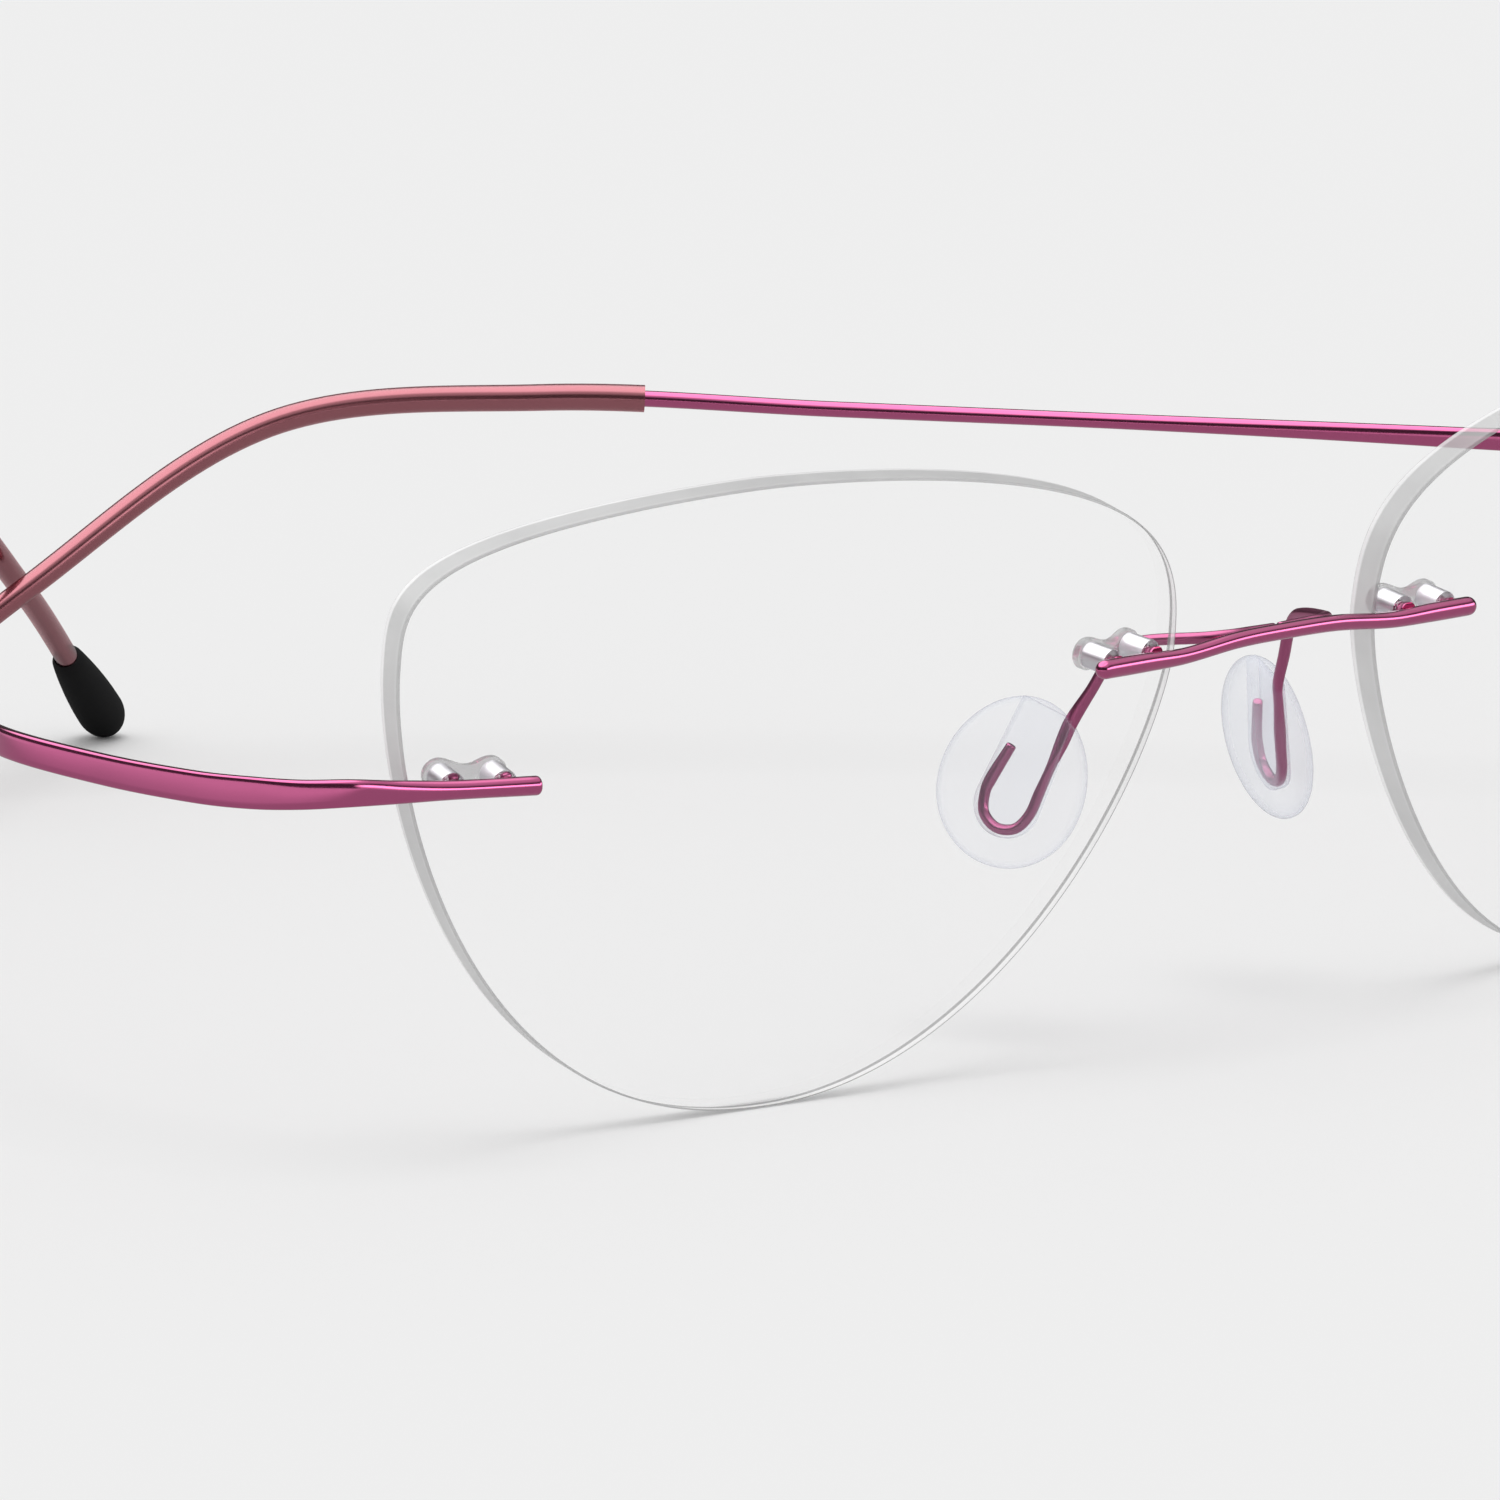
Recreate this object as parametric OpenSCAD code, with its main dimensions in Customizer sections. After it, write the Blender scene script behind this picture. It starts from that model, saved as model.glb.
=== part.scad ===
// Rimless eyeglasses with hingeless, flexing temples. They stand open on a table, on the
// bottoms of the lenses and the two temple tips: +X is the wearer's left, +Y runs back
// along the temples, +Z is up and z = 0 is the table. Sizes are in millimetres.

/* [Lenses] */
// Width of one lens between its widest points
lens_width = 54; // [48:0.5:58]
// Height of one lens between its highest and lowest points
lens_height = 37.6; // [32:0.2:42]
// Thickness of a lens
lens_thick = 1.7; // [1.5:0.1:2.2]
// Radius of the front of a lens
lens_radius = 120; // [90:1:200]
// Gap between the two lenses at the nose
lens_gap = 15.6; // [14:0.1:19]
// Angle by which each lens turns back towards its temple
lens_wrap = 7.5; // [4:0.1:10]
// Angle by which the tops of the lenses lean forward
lens_lean = 11.3; // [6:0.1:14]

/* [Lens outline] */
// Place of a lens's highest point, outwards from its middle
crown_out = 3.9; // [-2:0.1:8]
// Place of a lens's lowest point, outwards from its middle
base_out = -0.7; // [-6:0.1:6]
// Height of the widest point on the nose side above the lens's middle
nose_side_rise = 5; // [0:0.1:9]
// Height of the widest point on the temple side above the lens's middle
temple_side_rise = 9.5; // [2:0.1:12]

/* [Lens joints] */
// Distance from a lens's nose edge to the middle of its nose joint
nose_joint_inset = 3.7; // [3.4:0.1:6]
// Height of the nose joint above the lens's middle
nose_joint_rise = 5.2; // [3:0.1:8]
// Distance from a lens's temple edge to the middle of its temple joint
temple_joint_inset = 5.3; // [4:0.1:9]
// Height of the temple joint above the lens's middle
temple_joint_rise = 3; // [0:0.1:6]
// Distance between the two prongs of a joint
prong_spacing = 3.2; // [2.8:0.1:3.6]
// Diameter of a prong
prong_d = 0.8; // [0.6:0.05:1]
// Diameter of a bush's plugs, which fill the holes in the lens
plug_d = 1.5; // [1.3:0.05:1.7]
// Diameter of the two bosses on the back of a bush
boss_d = 2.1; // [2:0.1:2.8]
// Height of a boss behind the lens
boss_high = 0.7; // [0.6:0.1:1.2]
// Thickness of the web between a bush's bosses
bush_web = 0.4; // [0.3:0.1:0.6]

/* [Bridge and pad arms] */
// Diameter of the bridge rod and of the rods on the temple joints
rod_d = 1.1; // [0.9:0.05:1.4]
// Length of the bridge rod past the middle of a nose joint
bridge_past_joint = 2.65; // [2.4:0.05:3.4]
// Diameter of the bridge between its ends
bridge_waist = 0.94; // [0.8:0.02:1.1]
// Rise of the bridge's middle above its ends
bridge_arch = 0.42; // [0:0.02:2]
// Diameter of the pad arm wire
arm_d = 0.68; // [0.56:0.02:0.8]
// Height of a pad arm's bend above the pad's mouth
arm_drop = 4.7; // [3.5:0.02:6]

/* [Nose pads] */
// Length of a nose pad
pad_length = 10; // [9:0.1:13]
// Width of a nose pad
pad_width = 9.1; // [7.8:0.1:9.8]
// Thickness of a nose pad
pad_thick = 3; // [2.6:0.1:3.4]
// Distance of a pad's middle from the centre line
pad_out = 10.15; // [9.5:0.05:12]
// Distance of a pad's middle behind the middle of the lenses
pad_back = 9.35; // [9:0.05:12]
// Depth of a pad's middle below the middle of the lenses
pad_below = 3.25; // [2:0.05:5]
// Distance between the legs of the wire loop inside a pad
loop_width = 3.1; // [2.4:0.1:3.4]

/* [Temples] */
// Length of a temple's rod past the middle of its joint
temple_past_joint = 3.1; // [2.6:0.05:4]
// Height of the flat blade where the temple turns back
blade_tall = 1.8; // [1.4:0.1:2.4]
// Thickness of that blade
blade_thick = 0.62; // [0.5:0.02:0.8]
// Diameter of the temple wire behind the blade
wire_d = 0.96; // [0.8:0.02:1.1]
// Diameter to which the wire is drawn down inside the sleeve
core_d = 0.6; // [0.5:0.02:0.8]
// Outer diameter of the sleeve at its front end
sleeve_d = 1.66; // [1.4:0.02:1.9]
// Outer diameter of the sleeve at its back end
sleeve_back_d = 1.4; // [1.3:0.02:1.6]
// Distance by which the temples reach back from the lens edge to the tips' mouths
temple_reach = 106.6; // [100:0.2:120]
// Drop of the last stretch of the temple, down to the tip's mouth
ear_drop = 7.3; // [5:0.1:10]
// Distance by which one relaxed temple crosses in front of the other, past the tip's width
cross_room = 1.6; // [1.4:0.1:3]

/* [Tips] */
// Length of a rubber tip
tip_length = 6.3; // [5.5:0.1:8]
// Greatest diameter of a rubber tip
tip_d = 2.9; // [2.5:0.05:3.2]

/* [Fits] */
// Gap between a rod and the front of its lens
seat_gap = 0.05; // [0.02:0.01:0.1]
// Clearance round prongs, plugs, the wire in its sleeve and the sleeve in its tip
fit_gap = 0.02; // [0.01:0.01:0.04]
// Clearance round the wire loop in a pad's pocket
pocket_gap = 0.12; // [0.08:0.01:0.2]

/* [Hidden] */

// Fineness of spheres, cylinders, outline corners and swept wires
ball_fn = 240;
round_fn = 48;
corner_steps = 24;
wire_sides = 12;
arm_sides = 10;
wire_step = 2;
rod_step = 1;
arm_step = 0.6;

// Colours
titanium = [0.66, 0.24, 0.46];
clear = [0.86, 0.88, 0.92, 0.4];
silicone = [0.88, 0.9, 0.95, 0.5];
sleeve_colour = [0.70, 0.36, 0.40];
rubber = [0.08, 0.08, 0.09];

// Small helpers on points
function unit(v) = v / norm(v);
function place(k) = [k[0], k[1], k[2]];
function span(a, b) = norm(place(b) - place(a));
function mix(a, b, t) = a + (b - a) * t;
function about_x(a, p) = [p.x, p.y * cos(a) - p.z * sin(a), p.y * sin(a) + p.z * cos(a)];
function about_z(a, p) = [p.x * cos(a) - p.y * sin(a), p.x * sin(a) + p.y * cos(a), p.z];

// Lens outline: four corners, each a quarter of a superellipse between two of the lens's
// extreme points. Each pair holds the powers along and up; 2 would be a plain ellipse.
top_nose_power = [1.82, 2.89];
top_temple_power = [1.7, 3.41];
low_temple_power = [2.18, 1.7];
low_nose_power = [2.05, 1.45];
half_w = lens_width / 2;
half_h = lens_height / 2;
function corner(middle, reach, power, t) =
    [middle.x + reach.x * pow(cos(t), 2 / power.x), middle.y + reach.y * pow(sin(t), 2 / power.y)];
function steps(n, back) = [for (i = [0:n - 1]) back ? 90 - 90 * i / n : 90 * i / n];
lens_outline = concat(
    [for (t = steps(corner_steps, false)) corner([crown_out, nose_side_rise],
        [-half_w - crown_out, half_h - nose_side_rise], top_nose_power, t)],
    [for (t = steps(corner_steps, true)) corner([crown_out, temple_side_rise],
        [half_w - crown_out, half_h - temple_side_rise], top_temple_power, t)],
    [for (t = steps(corner_steps, false)) corner([base_out, temple_side_rise],
        [half_w - base_out, -half_h - temple_side_rise], low_temple_power, t)],
    [for (t = steps(corner_steps, true)) corner([base_out, nose_side_rise],
        [-half_w - base_out, -half_h - nose_side_rise], low_nose_power, t)]);

// Where a lens sits. Lens coordinates are outwards, inwards (back) and up from its middle.
function lens_sag(out, up, r) = r - sqrt(r * r - out * out - up * up);
function lens_point(out, up, proud) = let (r = lens_radius)
    [out, r - sqrt(pow(r + proud, 2) - out * out - up * up), up];
function turned(p) = about_z(lens_wrap, about_x(lens_lean, p));
lens_out = lens_gap / 2 + half_w * cos(lens_wrap)
    + lens_sag(half_w, 0, lens_radius) * sin(lens_wrap);
lens_rim = [for (proud = [0, -lens_thick]) for (p = lens_outline)
    turned(lens_point(p.x, p.y, proud))];
lens_up = -min([for (p = lens_rim) p.z]);
function on_face(p) = turned(p) + [lens_out, 0, lens_up];
function on_front(out, up, proud) = on_face(lens_point(out, up, proud));

nose_joint_out = nose_joint_inset - half_w;
temple_joint_out = half_w - temple_joint_inset;
rod_proud = rod_d / 2 + seat_gap;

// Curve through knots [x, y, z, tall, thick]: each stretch is a Hermite curve whose end
// slopes come from its neighbours, so the knots may lie at uneven distances.
function slope(k, i) = let (a = max(i - 1, 0), b = min(i + 1, len(k) - 1))
    (k[b] - k[a]) / ((i > a ? span(k[a], k[i]) : 0) + (b > i ? span(k[i], k[b]) : 0));
function between(k, i, t) = let (d = span(k[i], k[i + 1]))
    k[i] * (2 * pow(t, 3) - 3 * pow(t, 2) + 1) + slope(k, i) * d * (pow(t, 3) - 2 * pow(t, 2) + t)
    + k[i + 1] * (3 * pow(t, 2) - 2 * pow(t, 3)) + slope(k, i + 1) * d * (pow(t, 3) - pow(t, 2));
function stretch(k, first, last, step) = [for (i = [first:last - 1])
    let (n = ceil(span(k[i], k[i + 1]) / step)) for (j = [0:n - 1]) between(k, i, j / n),
    k[last]];

// Rings of an elliptical wire along a sampled curve, and the solids made from rings
function heading(c, i) = unit(place(c[min(i + 1, len(c) - 1)]) - place(c[max(i - 1, 0)]));
function wire_rings(c, up, sides) = [for (i = [0:len(c) - 1])
    let (side = unit(cross(heading(c, i), up)), rise = cross(side, heading(c, i)))
    [for (s = [0:sides - 1]) let (a = 360 * s / sides)
        place(c[i]) + side * c[i][4] / 2 * cos(a) + rise * c[i][3] / 2 * sin(a)]];
function skin(n, m, closed) = [for (i = [0:closed ? n - 1 : n - 2]) for (s = [0:m - 1])
    let (j = (i + 1) % n, t = (s + 1) % m)
    each [[i * m + s, i * m + t, j * m + s], [i * m + t, j * m + t, j * m + s]]];
module solid(rings) {
    n = len(rings);
    m = len(rings[0]);
    polyhedron([for (r = rings) each r], concat([[for (s = [m - 1:-1:0]) s]],
        [[for (s = [0:m - 1]) (n - 1) * m + s]], skin(n, m, false)), convexity = 6);
}
module tube(outer, inner) {
    n = len(outer);
    rings = concat(outer, [for (i = [n - 1:-1:0]) inner[i]]);
    polyhedron([for (r = rings) each r], skin(2 * n, len(rings[0]), true), convexity = 6);
}
// A rounded end beyond a knot: rings that shrink towards the point, or grow away from it.
// A rounding of half the rod's diameter makes a full dome, and a smaller one a flat end.
dome_steps = 3;
function dome(knot, way, shrink, rounding) = [for (i = [1:dome_steps])
    let (a = 90 * (shrink ? i : dome_steps + 1 - i) / (dome_steps + 0.5),
         d = knot[3] - 2 * rounding * (1 - cos(a)))
    concat(place(knot) + way * rounding * sin(a), [d, d])];

// ---- Lenses ------------------------------------------------------------------------
module at_face() { translate([lens_out, 0, lens_up]) rotate([0, 0, lens_wrap])
    rotate([lens_lean, 0, 0]) children(); }
// Puts its children on the front of the lens with +Y straight in through it
module at_joint(out, up) {
    dip = asin(up / lens_radius);
    at_face() translate([0, lens_radius, 0])
        rotate([0, 0, asin(out / (lens_radius * cos(dip)))]) rotate([-dip, 0, 0])
            translate([0, -lens_radius, 0]) children();
}
module at_joints() {
    at_joint(nose_joint_out, nose_joint_rise) children();
    at_joint(temple_joint_out, temple_joint_rise) children();
}
module each_prong() { for (s = [-1, 1]) translate([s * prong_spacing / 2, 0, 0])
    rotate([-90, 0, 0]) children(); }

blank_front = 1;
blank_back = lens_sag(half_w, half_h, lens_radius) + 2 * lens_thick;
module lens() {
    color(clear) difference() {
        at_face() intersection() {
            translate([0, blank_back, 0]) rotate([90, 0, 0])
                linear_extrude(blank_back + blank_front) polygon(lens_outline);
            translate([0, lens_radius, 0]) difference() {
                sphere(r = lens_radius, $fn = ball_fn);
                sphere(r = lens_radius - lens_thick, $fn = ball_fn);
            }
        }
        at_joints() each_prong() translate([0, 0, -lens_thick])
            cylinder(d = plug_d + 2 * fit_gap, h = 3 * lens_thick, $fn = round_fn);
    }
}

// ---- Twin bushes: clear plastic, pressed in from the back ----------------------------
boss_round = 0.3;
web_share = 0.62;
prong_short = 0.2;
module boss() {
    rotate_extrude($fn = round_fn) {
        square([boss_d / 2 - boss_round, boss_high]);
        square([boss_d / 2, boss_high - boss_round]);
        translate([boss_d / 2 - boss_round, boss_high - boss_round]) intersection() {
            circle(boss_round, $fn = round_fn);
            square(boss_round);
        }
    }
}
module bush() {
    color(clear) difference() {
        union() {
            each_prong() translate([0, 0, seat_gap])
                cylinder(d = plug_d, h = lens_thick + bush_web, $fn = round_fn);
            each_prong() translate([0, 0, lens_thick + seat_gap]) boss();
            translate([-prong_spacing / 2, lens_thick + seat_gap, -boss_d * web_share / 2])
                cube([prong_spacing, bush_web, boss_d * web_share]);
        }
        each_prong() cylinder(d = prong_d + 2 * fit_gap,
            h = lens_thick + boss_high - prong_short + fit_gap, $fn = round_fn);
    }
}
module nose_bush() { at_joint(nose_joint_out, nose_joint_rise) bush(); }
module temple_bush() { at_joint(temple_joint_out, temple_joint_rise) bush(); }
module prongs() {
    each_prong() translate([0, 0, -rod_proud])
        cylinder(d = prong_d, h = rod_proud + lens_thick + boss_high - prong_short,
            $fn = round_fn);
}

// ---- Bridge: a straight rod across the nose, with two prongs into each lens -----------
bridge_end = on_front(nose_joint_out + bridge_past_joint, nose_joint_rise, rod_proud);
// From the middle to one end: shares of the rod's half length, of its rise, and how far
// it has narrowed to the waist
bridge_rows = [[0, 1, 1], [0.27, 0.85, 1], [0.57, -0.05, 1], [0.8, 0, 0], [1, 0, 0]];
function bridge_point(side, row) =
    [side * row[0] * bridge_end.x, bridge_end.y, bridge_end.z + row[1] * bridge_arch];
function bridge_knot(side, row) = let (d = mix(rod_d, bridge_waist, row[2]))
    concat(bridge_point(side, row), [d, d]);
module bridge() {
    last = len(bridge_rows) - 1;
    knots = concat([for (i = [last:-1:0]) bridge_knot(-1, bridge_rows[i])],
        [for (i = [1:last]) bridge_knot(1, bridge_rows[i])]);
    color(titanium) {
        solid(wire_rings(concat(dome(knots[0], [-1, 0, 0], false, rod_d / 2),
            stretch(knots, 0, 2 * last, rod_step),
            dome(knots[2 * last], [1, 0, 0], true, rod_d / 2)),
            [0, 0, 1], wire_sides));
        for (side = [0, 1]) mirror([side, 0, 0])
            at_joint(nose_joint_out, nose_joint_rise) prongs();
    }
}

// ---- Nose pads and their arms ---------------------------------------------------------
// A pad's own directions: along runs down its length, face looks at the nose, and across
// runs back. They come from how far the pad leans out and back as it goes down.
pad_along = unit([0.315, 0.254, -0.914]);
pad_across = unit(cross(pad_along, [-0.886, 0.363, -0.29]));
pad_face = cross(pad_across, pad_along);
pad_middle = [pad_out, pad_back, lens_up - pad_below];
function in_pad(along, across) =
    pad_middle + pad_along * along + pad_across * across + pad_face * loop_deep;
module at_pad() {
    multmatrix([for (r = [0:2]) [pad_across[r], pad_along[r], pad_face[r], pad_middle[r]]])
        children();
}

// The wire enters near the pad's top, runs down one leg, turns and comes back part way.
loop_deep = 0;
loop_leg = loop_width / 2;
loop_shift = -0.2;
loop_bottom = 0.28 * pad_length;
loop_centre = loop_bottom - loop_leg;
loop_in = -0.455 * pad_length;
loop_out = -0.174 * pad_length;
pad_mouth = in_pad(loop_in, loop_shift - loop_leg);
// The front of the arm lies along the back of the bridge, to which it is welded.
weld_from = 0.3;
weld_to = 4.4;
weld_tilt = 17;
weld_rise = 0.04;
weld_off = (bridge_waist + arm_d) / 2 + seat_gap;
function weld_point(x) = [x, bridge_end.y, bridge_end.z + bridge_arch]
    + weld_off * [0, cos(weld_tilt), sin(weld_tilt)] + [0, 0, weld_rise * x];
arm_bend = pad_mouth + [-1.39, -2.59, arm_drop];
bend_leg = 0.9;
bend_way_in = unit(arm_bend - weld_point(weld_to));
bend_way_out = unit(pad_mouth - arm_bend);
arm_knots = [for (p = concat(
    [weld_point(weld_from), weld_point(weld_to / 2), weld_point(weld_to - bend_leg),
     weld_point(weld_to) + bend_way_in * bend_leg,
     arm_bend - bend_way_in * bend_leg, arm_bend + bend_way_out * bend_leg,
     mix(arm_bend, pad_mouth, 0.6), pad_mouth, in_pad(loop_in / 2, loop_shift - loop_leg)],
    [for (a = [-90:45:90])
        in_pad(loop_centre + loop_leg * cos(a), loop_shift + loop_leg * sin(a))],
    [in_pad(loop_out, loop_shift + loop_leg)])) concat(p, [arm_d, arm_d])];
module pad_arm() {
    color(titanium) solid(wire_rings(stretch(arm_knots, 0, len(arm_knots) - 1, arm_step),
        pad_face, arm_sides));
}

pad_sides = 32;
pad_layers = 5;
pad_edge_power = 0.55;
pad_flat_share = 0.93;
pad_drop_share = 0.06;
mouth_flare = 0.3;
module nose_pad() {
    tilts = [for (i = [-pad_layers:pad_layers])
        90 * i / pad_layers * (abs(i) == pad_layers ? pad_flat_share : 1)];
    pocket_thick = arm_d + 2 * pocket_gap;
    pocket_wide = loop_width + pocket_thick;
    color(silicone) difference() {
        at_pad() solid([for (a = tilts) let (w = pow(cos(a), pad_edge_power))
            [for (s = [0:pad_sides - 1]) let (t = 360 * s / pad_sides)
                [w * pad_width / 2 * sin(t) * (1 + pad_drop_share * cos(t)),
                 w * pad_length / 2 * cos(t), pad_thick / 2 * sin(a)]]]);
        at_pad() translate([loop_shift, 0, loop_deep - pocket_thick / 2]) {
            linear_extrude(pocket_thick) {
                translate([-pocket_wide / 2, -pad_length])
                    square([pocket_wide, pad_length + loop_centre]);
                translate([0, loop_centre]) circle(d = pocket_wide, $fn = round_fn);
            }
            translate([-pocket_wide / 2 - mouth_flare, -pad_length, -mouth_flare])
                cube([pocket_wide + 2 * mouth_flare, pad_length + loop_in,
                    pocket_thick + mouth_flare]);
        }
    }
}

// ---- Temples ---------------------------------------------------------------------------
// Each row is a place on the temple, measured from the rod at the lens's edge: outwards,
// back, rise, and how far the wire is flattened there from round (0) to the full blade (1).
// The rod is already a little flat where it passes that edge.
edge_flat = 0.33;
front_rows = [[2.5, 0.9, 0.15, 0.64], [4.2, 3, 0, 0.8], [5.1, 6.1, -0.2, 1], [5.8, 9.9, -0.3, 1]];
// From here back, the second number is a share of the temple's whole reach.
back_rows = [[6.4, 0.1585, -0.2, 0.95], [6.3, 0.238, 0.2, 0.85], [-0.7, 0.378, 0.1, 0.35],
             [-10.7, 0.525, 0.2, 0], [-22, 0.662, 0.5, 0], [-34.3, 0.782, 1, 0],
             [-47.7, 0.876, -0.3, 0]];
ear_bend = [-61.6, 0.939];
mouth_out = -71.9;
// The relaxed temples cross behind the wearer's head. For each of the last four places:
// how the left temple bends forward and the right one back, as shares of the room needed.
pass_room = tip_d + cross_room;
left_bend = [[-0.15, -0.18, 0.06], [-0.31, -0.38, 0.1], [-0.51, -0.58, 0.24], [-0.51, -1, 0]];
right_bend = [[-0.1, 0.11, -0.03], [-0.28, 0.24, -0.02], [-0.27, 0.24, 0.01], [-0.05, 0, 0]];

lens_edge = on_front(half_w, temple_joint_rise, rod_proud);
rod_end_round = 0.25;
rod_start = on_front(temple_joint_out - temple_past_joint, temple_joint_rise, rod_proud);
rod_middle = on_front(half_w - temple_joint_inset * 2 / 3, temple_joint_rise, rod_proud);
function flattened(d, flat) = [mix(d, blade_tall, flat), mix(d, blade_thick, flat)];

// The last stretch is set up from the table, so that the tip always rests on it.
tip_nose = 0.38 * tip_length;
tip_to_wide = tip_length - tip_nose;
function ear_point(bend) = lens_edge + [ear_bend[0], ear_bend[1] * temple_reach, 0] + bend[2] * pass_room;
function mouth_point(bend) = lens_edge + [mouth_out, temple_reach, 0] + bend[3] * pass_room;
function ear_fall(bend) = ear_drop + bend[2].z * pass_room;
function ear_run(bend) = let (d = mouth_point(bend) - ear_point(bend)) norm([d.x, d.y]);
function mouth_up(bend) = let (a = atan2(ear_fall(bend), ear_run(bend)))
    tip_to_wide * sin(a) + norm([tip_nose * sin(a), tip_d / 2 * cos(a)]);
function raised(p, up) = [p.x, p.y, up, core_d, core_d];
function temple_knots(bend) = concat(
    [for (p = [rod_start, rod_middle]) concat(p, [rod_d, rod_d])],
    [concat(lens_edge, flattened(rod_d, edge_flat))],
    [for (r = front_rows) concat(lens_edge + [r[0], r[1], r[2]], flattened(rod_d, r[3]))],
    [for (i = [0:len(back_rows) - 1]) let (r = back_rows[i], k = i - len(back_rows) + 2)
        concat(lens_edge + [r[0], r[1] * temple_reach, r[2]] + (k < 0 ? [0, 0, 0] : bend[k] * pass_room),
            k < 1 ? flattened(wire_d, r[3]) : [core_d, core_d])],
    [raised(ear_point(bend), mouth_up(bend) + ear_fall(bend)),
     raised(mouth_point(bend), mouth_up(bend))]);
// Which knots the pieces run between
blade_start = 4;
blade_end = 7;
sleeve_knot = 11;
mouth_knot = 15;

module end_piece() {
    knots = temple_knots(right_bend);
    color(titanium) {
        solid(wire_rings(concat(
            dome(knots[0], unit(rod_start - rod_middle), false, rod_end_round),
            stretch(knots, 0, blade_start, rod_step)), [0, 0, 1], wire_sides));
        at_joint(temple_joint_out, temple_joint_rise) prongs();
    }
}
module flex_blade() {
    color(titanium) solid(wire_rings(
        stretch(temple_knots(right_bend), blade_start, blade_end, rod_step), [0, 0, 1], wire_sides));
}

// The wire and the sleeve run straight on past the tip's mouth, inside the tip.
wire_in_tip = 0.38 * tip_length;
sleeve_in_tip = 0.45 * tip_length;
function tip_way(k) = unit(place(k[mouth_knot] - k[mouth_knot - 1]));
function past_mouth(k, depth) = concat(place(k[mouth_knot]) + tip_way(k) * depth,
    [core_d, core_d]);
module temple_wire(bend) {
    k = temple_knots(bend);
    color(titanium) solid(wire_rings(concat(stretch(k, blade_end, mouth_knot, wire_step),
        [past_mouth(k, wire_in_tip)]), [0, 0, 1], wire_sides));
}
module sleeve(bend) {
    k = temple_knots(bend);
    n = ceil(span(k[sleeve_knot], k[sleeve_knot + 1]) / wire_step);
    path = concat([for (i = [round(n / 2):n - 1]) between(k, sleeve_knot, i / n)],
        stretch(k, sleeve_knot + 1, mouth_knot, wire_step), [past_mouth(k, sleeve_in_tip)]);
    last = len(path) - 1;
    outside = [for (i = [0:last]) let (d = mix(sleeve_d, sleeve_back_d, i / last))
        concat(place(path[i]), [d, d])];
    inside = [for (p = path) concat(place(p), [p[3] + 2 * fit_gap, p[3] + 2 * fit_gap])];
    color(sleeve_colour) tube(wire_rings(outside, [0, 0, 1], wire_sides),
        wire_rings(inside, [0, 0, 1], wire_sides));
}

// ---- Tips: soft rubber eggs, pushed onto the ends of the sleeves -----------------------
tip_steps = 10;
tip_wall = 0.16;
tip_fullness = 0.8;
module tip(bend) {
    k = temple_knots(bend);
    way = tip_way(k);
    mouth_r = sleeve_back_d / 2 + fit_gap + tip_wall;
    color(rubber) translate(place(k[mouth_knot])) rotate([0, acos(way.z), atan2(way.y, way.x)])
        rotate_extrude($fn = round_fn) difference() {
            polygon(concat([[0, 0]],
                [for (i = [0:tip_steps]) let (a = 90 * i / tip_steps)
                    [mix(mouth_r, tip_d / 2, pow(sin(a), tip_fullness)), tip_to_wide * i / tip_steps]],
                [for (i = [1:tip_steps]) let (a = 90 * i / tip_steps)
                    [tip_d / 2 * cos(a), tip_to_wide + tip_nose * sin(a)]]));
            square([sleeve_back_d / 2 + fit_gap, sleeve_in_tip + fit_gap]);
        }
}

// ---- Origin: the middle of the model's footprint ---------------------------------------
function rear_of_tip(k) = let (way = tip_way(k)) k[mouth_knot].y + way.y * tip_to_wide
    + norm([tip_nose * way.y, tip_d / 2 * norm([way.x, way.z])]);
foremost = min(concat([for (p = lens_rim) p.y], [bridge_end.y - rod_d / 2]));
middle_y = (foremost + rear_of_tip(temple_knots(right_bend))) / 2;
module wearers_left() { translate([0, -middle_y, 0]) children(); }
module wearers_right() { wearers_left() mirror([1, 0, 0]) children(); }

wearers_left() lens();  // lens_left
wearers_right() lens();  // lens_right
wearers_left() bridge();
wearers_left() pad_arm();  // pad_arm_left
wearers_right() pad_arm();  // pad_arm_right
wearers_left() nose_pad();  // nose_pad_left
wearers_right() nose_pad();  // nose_pad_right
wearers_left() nose_bush();  // nose_bush_left
wearers_right() nose_bush();  // nose_bush_right
wearers_left() temple_bush();  // temple_bush_left
wearers_right() temple_bush();  // temple_bush_right
wearers_left() end_piece();  // end_piece_left
wearers_right() end_piece();  // end_piece_right
wearers_left() flex_blade();  // flex_blade_left
wearers_right() flex_blade();  // flex_blade_right
wearers_left() temple_wire(left_bend);  // temple_wire_left
wearers_right() temple_wire(right_bend);  // temple_wire_right
wearers_left() sleeve(left_bend);  // sleeve_left
wearers_right() sleeve(right_bend);  // sleeve_right
wearers_left() tip(left_bend);  // tip_left
wearers_right() tip(right_bend);  // tip_right
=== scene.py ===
# Rimless eyeglasses with flexing temples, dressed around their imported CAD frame.
# The glasses stand on a pale table, on the bottoms of the lenses and the temple tips.
# +X is the wearer's left, +Y runs back along the temples, +Z is up. Lengths are in metres.
import math

import bpy
import numpy as np
from mathutils import Matrix, Vector
from mathutils.bvhtree import BVHTree
from mathutils.geometry import delaunay_2d_cdt


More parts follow.
